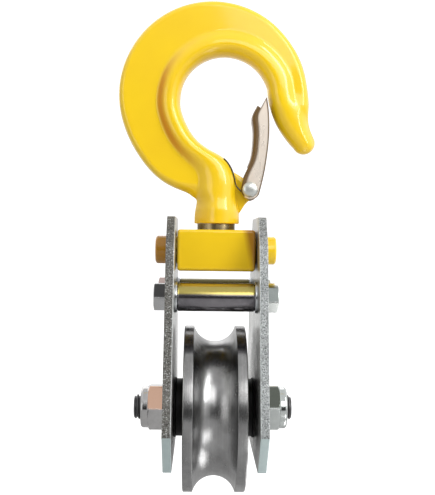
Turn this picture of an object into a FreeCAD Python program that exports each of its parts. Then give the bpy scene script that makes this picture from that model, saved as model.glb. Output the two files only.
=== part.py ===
import FreeCAD, Part
import math
import os

import Sketcher
from FreeCAD import Placement, Rotation, Vector

# Single-sheave pulley block: a swivel hook with a safety latch, a crosshead that tilts on two trunnions,
# two side plates held apart by bolted tubes, and a grooved sheave on two ball bearings.
# Millimetres. The origin is the middle of the sheave, X runs along its axle, Y from front to back, Z up.

doc = FreeCAD.newDocument("PulleyBlock")

sizes = {
    # Sheave
    "sheave_diameter": 65,
    "sheave_width": 24,
    "rope_groove_width": 16.5,
    "rope_groove_depth": 6.2,
    "rim_chamfer": 0.5,
    "bearing_shoulder": 2,
    "shoulder_height": 2,
    # Ball bearings
    "axle_diameter": 10,
    "bearing_outer": 30,
    "bearing_width": 9,
    "ball_diameter": 4.76,
    "ball_count": 8,
    "race_rise": 0.8,
    "cage_wall": 1.6,
    "cage_width": 5.4,
    "seal_wall": 0.6,
    "seal_recess": 0.3,
    "circlip_wall": 1,
    "circlip_depth": 0.7,
    "circlip_band": 2.9,
    "circlip_gap": 8,
    # Axle, its nuts and the black spacers
    "axle_reach_left": 12.8,
    "axle_reach_right": 11.9,
    "axle_nut_flats": 17,
    "axle_nut_length": 10,
    "axle_nut_hex": 7,
    "axle_nut_insert": 2,
    "insert_wall": 1.4,
    "spacer_diameter": 22.6,
    "spacer_width": 3.4,
    "spacer_lip": 0.5,
    "spacer_nose_wall": 2.3,
    "sheave_side_gap": 0.3,
    # Side plates
    "plate_wall": 3.25,
    "plate_edge_chamfer": 0.25,
    "plate_head": 12.9,
    "plate_shoulder": 2.3,
    "plate_corner_drop": 1.9,
    "plate_tail": 18,
    "plate_top_width": 30,
    "plate_shoulder_width": 47,
    "plate_rim_cover": 8,
    "plate_bottom_width": 57,
    "axle_hole_play": 0.4,
    # Spacer tubes and their bolts
    "rope_gap": 7.4,
    "tube_diameter": 10.8,
    "tube_bore": 6.6,
    "tube_spacing": 32,
    "tube_washer_diameter": 12,
    "tube_washer_wall": 1.1,
    "bolt_diameter": 6,
    "bolt_flats": 10,
    "bolt_head": 4.6,
    "bolt_nut": 4.6,
    "bolt_tip": 0.2,
    "bolt_hole_play": 0.4,
    # Crosshead
    "trunnion_rise": 17.7,
    "trunnion_diameter": 11.2,
    "trunnion_reach": 4.95,
    "trunnion_chamfer": 0.6,
    "crosshead_gap": 0.7,
    "crosshead_depth": 26,
    "crosshead_height": 16,
    "crosshead_round": 1.2,
    "nut_pocket_gap": 0.5,
    "nut_pocket_depth": 7.6,
    "thrust_washer_wall": 1,
    # Hook shank and its nut
    "shank_diameter": 15,
    "thread_diameter": 12,
    "neck_length": 2.5,
    "shank_nut_diameter": 20,
    "shank_nut_length": 6,
    "shank_end": 0.4,
    "lock_pin_diameter": 2.5,
    "lock_pin_length": 18,
    # Hook bowl and back, from the bottom of the collar
    "bowl_shift": 2.8,
    "bowl_rise": 49,
    "bowl_radius": 17.6,
    "back_shift": -1.9,
    "back_rise": 51.1,
    "back_radius": 37.5,
    "rib_width": 10.4,
    "rib_thickness": 14,
    "web_thickness": 8.8,
    "collar_diameter": 17.8,
    "neck_height": 8.2,
    "neck_depth": 8.3,
    "waist_depth": 6.8,
    "throat_angle": 200,
    "throat_reach": 22.8,
    "neck_reach": 27.7,
    "heel_reach": 29.2,
    "waist_angle": 72,
    "waist_reach": 9,
    # Latch, its lug, rivet and spring
    "pivot_shift": 13.1,
    "pivot_rise": 13.5,
    "lug_thickness": 4,
    "lug_eye": 3.7,
    "rivet_diameter": 4,
    "rivet_head_diameter": 6.1,
    "rivet_head": 1.3,
    "latch_width": 10.6,
    "latch_wall": 1.2,
    "latch_bend": 2.2,
    "latch_foot": 3.95,
    "latch_notch": 9.5,
    "latch_tip": 36.6,
    "latch_spine_tip": 33.5,
    "latch_cut": 32,
    "spring_wire": 0.7,
    "spring_radius": 2.9,
    "spring_leg": 10,
    # Fits
    "running_gap": 0.05,
    "seat_gap": 0.02,
    "loose_gap": 0.3,
}

# Places that follow from the sizes
layout = {
    "sheave_radius": "Sizes.sheave_diameter / 2",
    "sheave_face": "Sizes.sheave_width / 2",
    "groove_radius": "(Sizes.rope_groove_width ^ 2 / 4 + Sizes.rope_groove_depth ^ 2)"
    " / (2 * Sizes.rope_groove_depth)",
    "groove_centre": "sheave_radius - Sizes.rope_groove_depth + groove_radius",
    "axle_radius": "Sizes.axle_diameter / 2",
    "race_start": "Sizes.bearing_shoulder / 2",
    "race_end": "race_start + Sizes.bearing_width",
    "race_middle": "(race_start + race_end) / 2",
    "bearing_radius": "Sizes.bearing_outer / 2",
    "ball_radius": "Sizes.ball_diameter / 2",
    "ball_track": "(axle_radius + bearing_radius) / 2",
    "inner_shoulder": "ball_track - ball_radius + Sizes.race_rise",
    "outer_shoulder": "ball_track + ball_radius - Sizes.race_rise",
    "circlip_start": "race_end + Sizes.seat_gap",
    "spacer_face": "sheave_face + Sizes.sheave_side_gap",
    "plate_inside": "spacer_face + Sizes.spacer_width",
    "plate_outside": "plate_inside + Sizes.plate_wall",
    "tube_radius": "Sizes.tube_diameter / 2",
    "tube_height": "sheave_radius + Sizes.rope_gap + tube_radius",
    "tube_offset": "Sizes.tube_spacing / 2",
    "tube_end": "plate_inside - Sizes.tube_washer_wall",
    "trunnion_height": "tube_height + Sizes.trunnion_rise",
    "trunnion_radius": "Sizes.trunnion_diameter / 2",
    "plate_top": "trunnion_height + Sizes.plate_head",
    "crosshead_end": "plate_inside - Sizes.crosshead_gap",
    "crosshead_bottom": "trunnion_height - Sizes.crosshead_height / 2",
    "crosshead_top": "trunnion_height + Sizes.crosshead_height / 2",
    "pocket_roof": "crosshead_bottom + Sizes.nut_pocket_depth",
    "pocket_radius": "Sizes.shank_nut_diameter / 2 + Sizes.nut_pocket_gap",
    "washer_radius": "pocket_radius - Sizes.loose_gap",
    "shank_radius": "Sizes.shank_diameter / 2",
    "shank_step": "pocket_roof - Sizes.thrust_washer_wall - Sizes.running_gap",
    "shank_nut_bottom": "shank_step - Sizes.shank_nut_length",
    "shank_bottom": "shank_nut_bottom - Sizes.shank_end",
    "lock_pin_height": "shank_step - Sizes.shank_nut_length / 2",
    "collar_bottom": "crosshead_top + Sizes.neck_length",
    "pivot_height": "collar_bottom + Sizes.pivot_rise",
    "rivet_radius": "Sizes.rivet_diameter / 2",
    "latch_face": "Sizes.latch_width / 2",
    "latch_inside": "latch_face - Sizes.latch_wall",
}


def make_sheet(name, cells, formula):
    sheet = doc.addObject("Spreadsheet::Sheet", name)
    for row, (alias, value) in enumerate(cells.items(), 1):
        sheet.set(f"A{row}", alias)
        sheet.set(f"B{row}", f"={value}" if formula else str(value))
        sheet.setAlias(f"B{row}", alias)
    return sheet


size = make_sheet("Sizes", sizes, False)
place = make_sheet("Layout", layout, True)
doc.recompute()

parts = []
sides = {"left": -1, "right": 1}
along_x = Rotation(Vector(0, 1, 0), 90)
along_y = Rotation(Vector(1, 0, 0), -90)


def keep(sub_part, name):
    """Gives a finished sub-part its node name."""
    sub_part.Label = name
    parts.append(sub_part)
    return sub_part


def bind(target, **expressions):
    for prop, expression in expressions.items():
        target.setExpression(prop.replace("_", "."), expression)
    return target


def origin_plane(body, role):
    return [feature for feature in body.Origin.OriginFeatures if feature.Role == role][0]


def bound_sketch(body, name, role, outline, circles=()):
    """A sketch of one closed outline, and of circles, whose coordinates and radii follow the sheets."""
    sketch = body.newObject("Sketcher::SketchObject", name)
    sketch.AttachmentSupport = [(origin_plane(body, role), "")]
    sketch.MapMode = "FlatFace"
    corners = [[bound_value(text) for text in corner] for corner in outline]
    count = len(corners)
    for index, (x, y) in enumerate(corners):
        next_x, next_y = corners[(index + 1) % count]
        sketch.addGeometry(Part.LineSegment(Vector(x, y, 0), Vector(next_x, next_y, 0)), False)
    for index in range(count):
        sketch.addConstraint(Sketcher.Constraint("Coincident", index, 2, (index + 1) % count, 1))
    for index, corner in enumerate(outline):
        place_point(sketch, index, 1, corner)
    for centre_x, centre_y, radius in circles:
        centre = Vector(bound_value(centre_x), bound_value(centre_y), 0)
        index = sketch.addGeometry(Part.Circle(centre, Vector(0, 0, 1), bound_value(radius)), False)
        number = sketch.addConstraint(Sketcher.Constraint("Radius", index, bound_value(radius)))
        sketch.setExpression(f"Constraints[{number}]", radius)
        place_point(sketch, index, 3, (centre_x, centre_y))
    return sketch


def place_point(sketch, index, point, corner):
    for direction, text in zip(("DistanceX", "DistanceY"), corner):
        number = sketch.addConstraint(Sketcher.Constraint(direction, index, point, bound_value(text)))
        sketch.setExpression(f"Constraints[{number}]", text)


def bound_value(text):
    """The number that an expression on the sheets stands for."""
    return float(place.evalExpression(text.replace("Layout.", "")))


def turned(name, outline, axis="H_Axis", role="XY_Plane"):
    """A body turned round the X axis, or upright with V_Axis, from an outline of (along, radius) pairs."""
    body = doc.addObject("PartDesign::Body", name)
    sketch = bound_sketch(body, f"{name}_profile", role, outline)
    turn = body.newObject("PartDesign::Revolution", f"{name}_turned")
    turn.Profile = sketch
    turn.ReferenceAxis = (sketch, [axis])
    turn.Angle = 360
    doc.recompute()
    return body


def ring(name, start, end, inner, outer, side=1):
    """A plain ring on the X axis between two distances from the middle, on one side."""
    low, high = (start, end) if side > 0 else (f"-({end})", f"-({start})")
    return turned(name, [(low, inner), (high, inner), (high, outer), (low, outer)])


def combine(kind, name, **inputs):
    result = doc.addObject(f"Part::{kind}", name)
    for prop, value in inputs.items():
        setattr(result, prop, value)
    doc.recompute()
    return result


def mirrored(side, text):
    return text if side > 0 else f"-({text})"


def make_sheave():
    body = turned("sheave", [
        ("-Layout.sheave_face", "Layout.bearing_radius"),
        ("-Layout.circlip_start - Sizes.circlip_wall - 2 * Sizes.seat_gap", "Layout.bearing_radius"),
        ("-Layout.circlip_start - Sizes.circlip_wall - 2 * Sizes.seat_gap",
         "Layout.bearing_radius + Sizes.circlip_depth"),
        ("-Layout.circlip_start", "Layout.bearing_radius + Sizes.circlip_depth"),
        ("-Layout.circlip_start", "Layout.bearing_radius"),
        ("-Layout.race_start", "Layout.bearing_radius"),
        ("-Layout.race_start", "Layout.bearing_radius - Sizes.shoulder_height"),
        ("Layout.race_start", "Layout.bearing_radius - Sizes.shoulder_height"),
        ("Layout.race_start", "Layout.bearing_radius"),
        ("Layout.circlip_start", "Layout.bearing_radius"),
        ("Layout.circlip_start", "Layout.bearing_radius + Sizes.circlip_depth"),
        ("Layout.circlip_start + Sizes.circlip_wall + 2 * Sizes.seat_gap",
         "Layout.bearing_radius + Sizes.circlip_depth"),
        ("Layout.circlip_start + Sizes.circlip_wall + 2 * Sizes.seat_gap", "Layout.bearing_radius"),
        ("Layout.sheave_face", "Layout.bearing_radius"),
        ("Layout.sheave_face", "Layout.sheave_radius - Sizes.rim_chamfer"),
        ("Layout.sheave_face - Sizes.rim_chamfer", "Layout.sheave_radius"),
        ("-Layout.sheave_face + Sizes.rim_chamfer", "Layout.sheave_radius"),
        ("-Layout.sheave_face", "Layout.sheave_radius - Sizes.rim_chamfer"),
    ])
    cut_round_groove(body, "rope_groove", "0", "Layout.groove_centre", "Layout.groove_radius")
    keep(body, "sheave")


def cut_round_groove(body, name, along, height, radius):
    """Cuts a groove of round section into a turned body."""
    before = body.Shape.Volume
    sketch = bound_sketch(body, f"{name}_section", "XY_Plane", [], [(along, height, radius)])
    groove = body.newObject("PartDesign::Groove", name)
    groove.Profile = sketch
    groove.ReferenceAxis = (sketch, ["H_Axis"])
    groove.Angle = 360
    doc.recompute()
    if body.Shape.Volume >= before:
        raise RuntimeError(f"{name} cut nothing")


def make_bearing(name, side):
    start, end, middle = "Layout.race_start", "Layout.race_end", mirrored(side, "Layout.race_middle")
    inner = ring(f"inner_race_{name}", start, end, "Layout.axle_radius + Sizes.seat_gap",
                 "Layout.inner_shoulder", side)
    outer = ring(f"outer_race_{name}", start, end, "Layout.outer_shoulder",
                 "Layout.bearing_radius - Sizes.seat_gap", side)
    for race in (inner, outer):
        cut_round_groove(race, f"{race.Name}_track", middle, "Layout.ball_track",
                         "Layout.ball_radius + Sizes.running_gap")
    keep(inner, f"inner_race_{name}")
    keep(outer, f"outer_race_{name}")

    balls = [ball(f"ball_{name}_{number}", side, number, "Layout.ball_radius")
             for number in range(int(size.ball_count))]
    keep(combine("Compound", f"balls_{name}", Links=balls), f"balls_{name}")

    low, high = "Layout.race_middle - Sizes.cage_width / 2", "Layout.race_middle + Sizes.cage_width / 2"
    band = ring(f"cage_band_{name}", low, high, "Layout.ball_track - Sizes.cage_wall / 2",
                "Layout.ball_track + Sizes.cage_wall / 2", side)
    pockets = [ball(f"pocket_{name}_{number}", side, number, "Layout.ball_radius + 2 * Sizes.running_gap")
               for number in range(int(size.ball_count))]
    holes = combine("Compound", f"pockets_{name}", Links=pockets)
    keep(combine("Cut", f"cage_{name}", Base=band, Tool=holes), f"cage_{name}")

    seals = {
        "inner": ("Layout.race_start + Sizes.seal_recess",
                  "Layout.race_start + Sizes.seal_recess + Sizes.seal_wall"),
        "outer": ("Layout.race_end - Sizes.seal_recess - Sizes.seal_wall",
                  "Layout.race_end - Sizes.seal_recess"),
    }
    for position, (seal_start, seal_end) in seals.items():
        seal_name = f"seal_{name}_{position}"
        keep(ring(seal_name, seal_start, seal_end, "Layout.inner_shoulder + Sizes.running_gap",
                  "Layout.outer_shoulder - Sizes.seat_gap", side), seal_name)


def ball(name, side, number, radius):
    """One of the spheres spaced round the ball track."""
    sphere = doc.addObject("Part::Sphere", name)
    turn = f"360 deg * {number} / Sizes.ball_count"
    bind(sphere, Radius=radius, Placement_Base_x=mirrored(side, "Layout.race_middle"),
         Placement_Base_y=f"Layout.ball_track * sin({turn})",
         Placement_Base_z=f"Layout.ball_track * cos({turn})")
    return sphere


def make_circlip(name, side):
    """An internal retaining ring with its gap at the bottom."""
    band = ring(f"circlip_band_{name}", "Layout.circlip_start + Sizes.seat_gap",
                "Layout.circlip_start + Sizes.circlip_wall + Sizes.seat_gap",
                "Layout.bearing_radius + Sizes.circlip_depth - Sizes.circlip_band",
                "Layout.bearing_radius + Sizes.circlip_depth - 2 * Sizes.seat_gap", side)
    gap = doc.addObject("Part::Box", f"circlip_gap_{name}")
    bind(gap, Length="Sizes.sheave_width", Width="Sizes.circlip_gap", Height="Layout.sheave_radius",
         Placement_Base_x="-Sizes.sheave_width / 2", Placement_Base_y="-Sizes.circlip_gap / 2",
         Placement_Base_z="-Layout.sheave_radius")
    keep(combine("Cut", f"circlip_{name}", Base=band, Tool=gap), f"circlip_{name}")


def make_axle():
    keep(turned("axle_stud", [
        ("-Layout.plate_outside - Sizes.axle_reach_left", "0"),
        ("Layout.plate_outside + Sizes.axle_reach_right", "0"),
        ("Layout.plate_outside + Sizes.axle_reach_right", "Layout.axle_radius - 2 * Sizes.rim_chamfer"),
        ("Layout.plate_outside + Sizes.axle_reach_right - 2 * Sizes.rim_chamfer", "Layout.axle_radius"),
        ("-Layout.plate_outside - Sizes.axle_reach_left + 2 * Sizes.rim_chamfer", "Layout.axle_radius"),
        ("-Layout.plate_outside - Sizes.axle_reach_left", "Layout.axle_radius - 2 * Sizes.rim_chamfer"),
    ]), "axle_stud")
    sleeve = ring("inner_sleeve", "-Layout.race_start", "Layout.race_start",
                  "Layout.axle_radius + Sizes.seat_gap", "Layout.inner_shoulder - Sizes.race_rise")
    keep(sleeve, "inner_sleeve")


def make_bearing_spacer(name, side):
    """The black disc between sheave and plate. Its nose bears on the inner race, its lip on the plate."""
    bore = "Layout.axle_radius + Sizes.seat_gap"
    nose = "Layout.axle_radius + Sizes.spacer_nose_wall"
    disc = "Sizes.spacer_diameter / 2"
    lip = "Sizes.spacer_diameter / 2 + Sizes.spacer_lip"
    outline = [
        ("Layout.race_end", bore),
        ("Layout.plate_inside", bore),
        ("Layout.plate_inside", lip),
        ("Layout.plate_inside - Sizes.spacer_lip", lip),
        ("Layout.plate_inside - Sizes.spacer_lip", disc),
        ("Layout.spacer_face", disc),
        ("Layout.spacer_face", nose),
        ("Layout.race_end", nose),
    ]
    keep(turned(f"bearing_spacer_{name}", [(mirrored(side, along), radius) for along, radius in outline]),
         f"bearing_spacer_{name}")


def hexagon(name, flats, start, length, side, tilt):
    """A six-sided bar along X. tilt turns one corner up from the front."""
    prism = doc.addObject("Part::Prism", name)
    prism.Polygon = 6
    corner_to_front = 30
    prism.Placement = Placement(Vector(), Rotation(Vector(1, 0, 0), corner_to_front - tilt) * along_x)
    low = start if side > 0 else f"-({start}) - {length}"
    bind(prism, Circumradius=f"{flats} / sqrt(3)", Height=length, Placement_Base_x=low)
    return prism


def make_axle_nut(name, side, tilt):
    """A lock nut: hexagon, domed collar and a nylon ring inside the collar."""
    foot, hexagon_end = "Layout.plate_outside", "Layout.plate_outside + Sizes.axle_nut_hex"
    end = "Layout.plate_outside + Sizes.axle_nut_length"
    bore = "Layout.axle_radius + Sizes.seat_gap"
    flats = "Sizes.axle_nut_flats / 2"
    corner = "Sizes.axle_nut_flats / sqrt(3)"
    seat = "Layout.axle_radius + Sizes.insert_wall"
    outline = [
        (foot, bore),
        (f"{end} - Sizes.axle_nut_insert", bore),
        (f"{end} - Sizes.axle_nut_insert", seat),
        (end, seat),
        (end, f"{seat} + Sizes.insert_wall / 2"),
        (f"{end} - Sizes.rim_chamfer", f"{flats} - 2 * Sizes.rim_chamfer"),
        (f"{end} - 2 * Sizes.rim_chamfer", f"{flats} - Sizes.rim_chamfer"),
        (f"{end} - 4 * Sizes.rim_chamfer", f"{flats} - Sizes.rim_chamfer / 2"),
        (hexagon_end, f"{flats} - Sizes.rim_chamfer / 2"),
        (f"{hexagon_end} - Sizes.rim_chamfer", corner),
        (f"{foot} + Sizes.rim_chamfer", corner),
        (foot, flats),
    ]
    envelope = turned(f"axle_nut_envelope_{name}", [(mirrored(side, a), radius) for a, radius in outline])
    bar = hexagon(f"axle_nut_bar_{name}", "Sizes.axle_nut_flats", foot, "Sizes.axle_nut_length", side, tilt)
    keep(combine("Common", f"axle_nut_{name}", Base=bar, Tool=envelope), f"axle_nut_{name}")
    keep(ring(f"nut_insert_{name}", f"{end} - Sizes.axle_nut_insert + Sizes.seat_gap", end, bore,
              f"{seat} - Sizes.seat_gap", side), f"nut_insert_{name}")


def make_side_plate(name, side):
    """A flat plate, narrow at the trunnion and wide over the sheave, with four holes."""
    half = {
        "top": "Sizes.plate_top_width / 2",
        "shoulder": "Sizes.plate_shoulder_width / 2",
        "corner": "(Layout.sheave_radius + Sizes.plate_rim_cover)",
        "bottom": "Sizes.plate_bottom_width / 2",
    }
    height = {
        "top": "Layout.plate_top",
        "shoulder": "Layout.trunnion_height + Sizes.plate_shoulder",
        "corner": "-Sizes.plate_corner_drop",
        "bottom": "-Sizes.plate_tail",
    }
    right_edge = [(half[level], height[level]) for level in ("bottom", "corner", "shoulder", "top")]
    left_edge = [(f"-{half[level]}", height[level]) for level in ("top", "shoulder", "corner", "bottom")]
    bolt_hole = "Sizes.bolt_diameter / 2 + Sizes.bolt_hole_play / 2"
    holes = [
        ("0", "0", "Layout.axle_radius + Sizes.axle_hole_play / 2"),
        ("0", "Layout.trunnion_height", "Layout.trunnion_radius + Sizes.running_gap"),
        ("Layout.tube_offset", "Layout.tube_height", bolt_hole),
        ("-Layout.tube_offset", "Layout.tube_height", bolt_hole),
    ]
    label = f"side_plate_{name}"
    body = doc.addObject("PartDesign::Body", label)
    sketch = bound_sketch(body, f"{label}_outline", "YZ_Plane", right_edge + left_edge, holes)
    pad = body.newObject("PartDesign::Pad", f"{label}_plate")
    pad.Profile = sketch
    bind(pad, Length="Sizes.plate_wall")
    doc.recompute()
    flat_faces = [f"Face{number}" for number, face in enumerate(pad.Shape.Faces, 1)
                  if abs(face.normalAt(0, 0).x) > math.cos(math.radians(1))]
    chamfer = body.newObject("PartDesign::Chamfer", f"{label}_edges")
    chamfer.Base = (pad, flat_faces)
    bind(chamfer, Size="Sizes.plate_edge_chamfer")
    bind(body, Placement_Base_x="Layout.plate_inside" if side > 0 else "-Layout.plate_outside")
    doc.recompute()
    keep(body, label)


def make_guard(row_name, row, head_tilt, nut_tilt):
    """One spacer tube, its two washers, and the bolt and nut that clamp the plates on it."""
    seat = "Sizes.bolt_diameter / 2 + Sizes.seat_gap"
    pieces = {
        f"spacer_tube_{row_name}": ring(f"spacer_tube_{row_name}", "-Layout.tube_end", "Layout.tube_end",
                                        "Sizes.tube_bore / 2", "Layout.tube_radius"),
    }
    for side_name, side in sides.items():
        label = f"tube_washer_{row_name}_{side_name}"
        pieces[label] = ring(label, "Layout.tube_end", "Layout.plate_inside", seat,
                             "Sizes.tube_washer_diameter / 2", side)
    pieces[f"guard_bolt_{row_name}"] = make_bolt(row_name, head_tilt)
    pieces[f"guard_nut_{row_name}"] = make_bolt_nut(row_name, seat, nut_tilt)
    for label, piece in pieces.items():
        bind(piece, Placement_Base_y=f"{row} * Layout.tube_offset", Placement_Base_z="Layout.tube_height")
        keep(piece, label)
    doc.recompute()


def make_bolt(row_name, tilt):
    foot, end = "-Layout.plate_outside", "-Layout.plate_outside - Sizes.bolt_head"
    tip = "Layout.plate_outside + Sizes.bolt_nut + Sizes.bolt_tip"
    flats, corner = "Sizes.bolt_flats / 2", "Sizes.bolt_flats / sqrt(3)"
    envelope = turned(f"bolt_head_envelope_{row_name}", [
        (foot, "0"), (foot, corner), (f"{end} + Sizes.rim_chamfer", corner), (end, flats), (end, "0"),
    ])
    bar = hexagon(f"bolt_head_bar_{row_name}", "Sizes.bolt_flats", "Layout.plate_outside",
                  "Sizes.bolt_head", -1, tilt)
    head = combine("Common", f"bolt_head_{row_name}", Base=bar, Tool=envelope)
    shank = turned(f"bolt_shank_{row_name}", [
        (foot, "0"), (tip, "0"), (tip, "Sizes.bolt_diameter / 2 - Sizes.rim_chamfer"),
        (f"{tip} - Sizes.rim_chamfer", "Sizes.bolt_diameter / 2"), (foot, "Sizes.bolt_diameter / 2"),
    ])
    return combine("Fuse", f"guard_bolt_{row_name}", Base=head, Tool=shank)


def make_bolt_nut(row_name, bore, tilt):
    foot, end = "Layout.plate_outside", "Layout.plate_outside + Sizes.bolt_nut"
    flats, corner = "Sizes.bolt_flats / 2", "Sizes.bolt_flats / sqrt(3)"
    envelope = turned(f"bolt_nut_envelope_{row_name}", [
        (foot, bore), (end, bore), (end, flats), (f"{end} - 2 * Sizes.rim_chamfer", corner), (foot, corner),
    ])
    bar = hexagon(f"bolt_nut_bar_{row_name}", "Sizes.bolt_flats", foot, "Sizes.bolt_nut", 1, tilt)
    return combine("Common", f"guard_nut_{row_name}", Base=bar, Tool=envelope)


def make_crosshead():
    """A block with two trunnions, bored for the hook's shank, with a pocket for the shank nut."""
    block = doc.addObject("Part::Box", "crosshead_block")
    bind(block, Length="2 * Layout.crosshead_end", Width="Sizes.crosshead_depth",
         Height="Sizes.crosshead_height", Placement_Base_x="-Layout.crosshead_end",
         Placement_Base_y="-Sizes.crosshead_depth / 2", Placement_Base_z="Layout.crosshead_bottom")
    doc.recompute()
    rounded = doc.addObject("Part::Fillet", "crosshead_rounded")
    rounded.Base = block
    rounded.Edges = [(number, size.crosshead_round, size.crosshead_round)
                     for number in range(1, len(block.Shape.Edges) + 1)]
    reach = "Layout.plate_outside + Sizes.trunnion_reach"
    trunnions = turned("trunnions", [
        (f"-({reach})", "0"), (reach, "0"), (reach, "Layout.trunnion_radius - Sizes.trunnion_chamfer"),
        (f"{reach} - Sizes.trunnion_chamfer", "Layout.trunnion_radius"),
        (f"-({reach}) + Sizes.trunnion_chamfer", "Layout.trunnion_radius"),
        (f"-({reach})", "Layout.trunnion_radius - Sizes.trunnion_chamfer"),
    ])
    bind(trunnions, Placement_Base_z="Layout.trunnion_height")
    blank = combine("Fuse", "crosshead_blank", Base=rounded, Tool=trunnions)
    cutter = upright("shank_bore", [
        ("0", "Layout.crosshead_bottom - Sizes.shank_end"),
        ("Layout.pocket_radius", "Layout.crosshead_bottom - Sizes.shank_end"),
        ("Layout.pocket_radius", "Layout.pocket_roof"),
        ("Layout.shank_radius + Sizes.running_gap", "Layout.pocket_roof"),
        ("Layout.shank_radius + Sizes.running_gap", "Layout.collar_bottom"),
        ("0", "Layout.collar_bottom"),
    ])
    keep(combine("Cut", "crosshead", Base=blank, Tool=cutter), "crosshead")
    keep(upright("thrust_washer", [
        ("Layout.shank_radius + Sizes.running_gap", "Layout.pocket_roof - Sizes.thrust_washer_wall"),
        ("Layout.washer_radius", "Layout.pocket_roof - Sizes.thrust_washer_wall"),
        ("Layout.washer_radius", "Layout.pocket_roof"),
        ("Layout.shank_radius + Sizes.running_gap", "Layout.pocket_roof"),
    ]), "thrust_washer")


def upright(name, outline):
    """A body turned round the Z axis from an outline of (radius, height) pairs."""
    return turned(name, outline, "V_Axis", "XZ_Plane")


def make_shank_nut():
    thread = "Sizes.thread_diameter / 2 + Sizes.seat_gap"
    nut = upright("shank_nut_ring", [
        (thread, "Layout.shank_nut_bottom"),
        ("Sizes.shank_nut_diameter / 2", "Layout.shank_nut_bottom"),
        ("Sizes.shank_nut_diameter / 2", "Layout.shank_step"),
        (thread, "Layout.shank_step"),
    ])
    keep(combine("Cut", "shank_nut", Base=nut, Tool=pin_hole("shank_nut_pin_hole")), "shank_nut")
    pin = doc.addObject("Part::Cylinder", "shank_nut_pin")
    pin.Placement = Placement(Vector(), along_x)
    bind(pin, Radius="Sizes.lock_pin_diameter / 2", Height="Sizes.lock_pin_length",
         Placement_Base_x="-Sizes.lock_pin_length / 2", Placement_Base_z="Layout.lock_pin_height")
    keep(pin, "shank_nut_pin")


def pin_hole(name):
    hole = doc.addObject("Part::Cylinder", name)
    hole.Placement = Placement(Vector(), along_x)
    bind(hole, Radius="Sizes.lock_pin_diameter / 2 + Sizes.seat_gap", Height="2 * Sizes.shank_nut_diameter",
         Placement_Base_x="-Sizes.shank_nut_diameter", Placement_Base_z="Layout.lock_pin_height")
    return hole


def make_hook():
    """The forged hook: an arm of ribbed section, a turned shank and the lug that carries the latch."""
    arm = doc.addObject("Part::Feature", "hook_arm")
    arm.Shape = Part.makeLoft([section_wire(*station) for station in arm_stations()], True, False)
    bind(arm, Placement_Base_z="Layout.collar_bottom")
    shank = upright("hook_shank", [
        ("0", "Layout.shank_bottom"),
        ("Sizes.thread_diameter / 2", "Layout.shank_bottom"),
        ("Sizes.thread_diameter / 2", "Layout.shank_step"),
        ("Layout.shank_radius", "Layout.shank_step"),
        ("Layout.shank_radius", "Layout.collar_bottom + Sizes.neck_length"),
        ("0", "Layout.collar_bottom + Sizes.neck_length"),
    ])
    forging = combine("MultiFuse", "hook_forging", Shapes=[arm, shank, make_lug()])
    holes = combine("MultiFuse", "hook_holes", Shapes=[pin_hole("shank_pin_hole"), rivet_hole()])
    keep(combine("Cut", "hook", Base=forging, Tool=holes), "hook")


def arm_stations():
    """Sections of the arm from collar to nose, as (inner point, outer point, rib width, half thickness of rib
    and of web), with heights from the bottom of the collar."""
    return collar_stations() + neck_stations() + bowl_stations() + nose_stations()


def collar_stations():
    radius, web = size.collar_diameter / 2, size.web_thickness / 2
    waist = Vector(-size.waist_depth, 0, size.neck_height)
    throat = Vector(size.neck_depth, 0, size.neck_height)
    middle = [(throat + Vector(radius, 0, 0)) / 2, (waist - Vector(radius, 0, 0)) / 2]
    return [
        (Vector(radius, 0, 0), Vector(-radius, 0, 0), 2 * radius, radius, web / 8),
        (middle[0], middle[1], middle[0].x - middle[1].x, radius, web / 4),
    ]


def neck_stations():
    count = 8
    return [neck_station(number / count) for number in range(count)]


def neck_station(share):
    """Between waist and bowl, on one Bezier curve at the inner side and one at the outer side."""
    inner_end, outer_end = bowl_ray(size.throat_angle)
    turn = math.radians(size.throat_angle)
    along_inner = Vector(-math.sin(turn), 0, math.cos(turn))
    back = (outer_end - Vector(size.back_shift, 0, size.back_rise)).normalize()
    along_outer = Vector(-back.z, 0, back.x)
    waist_turn = math.radians(size.waist_angle)
    throat = Vector(size.neck_depth, 0, size.neck_height)
    waist = Vector(-size.waist_depth, 0, size.neck_height)
    inner = [throat, throat + Vector(0, 0, size.neck_reach),
             inner_end + along_inner * size.throat_reach, inner_end]
    outer = [waist, waist + Vector(-math.cos(waist_turn), 0, math.sin(waist_turn)) * size.waist_reach,
             outer_end + along_outer * size.heel_reach, outer_end]
    rib, web, collar = size.rib_thickness / 2, size.web_thickness / 2, size.collar_diameter / 2
    neck_share = (1 - share) ** 4
    start, end = bezier(inner, share), bezier(outer, share)
    rib_width = size.rib_width + ((end - start).Length - size.rib_width) * neck_share
    return start, end, rib_width, rib + (collar - rib) * neck_share * 0.7, web


def bezier(points, share):
    curve = Part.BezierCurve()
    curve.setPoles(points)
    return curve.value(share)


def bowl_ray(angle):
    """Where a ray from the middle of the bowl leaves the bowl and the back of the hook."""
    turn = math.radians(angle)
    ray = Vector(math.cos(turn), 0, math.sin(turn))
    bowl = Vector(size.bowl_shift, 0, size.bowl_rise)
    offset = bowl - Vector(size.back_shift, 0, size.back_rise)
    along = offset.dot(ray)
    reach = math.sqrt(along ** 2 - offset.dot(offset) + size.back_radius ** 2) - along
    return bowl + ray * size.bowl_radius, bowl + ray * reach


def bowl_stations():
    """Round the bowl, with the web thickening towards the nose."""
    stations = []
    count = 10
    for number in range(count + 1):
        share = number / count
        start, end = bowl_ray(size.throat_angle * (1 - share))
        thinning = size.rib_thickness / 2 * (1 - 0.1 * share)
        web = size.web_thickness / 2 * (1 + 0.2 * share ** 2)
        stations.append((start, end, size.rib_width * (1 - 0.2 * share), thinning, web))
    return stations


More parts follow.
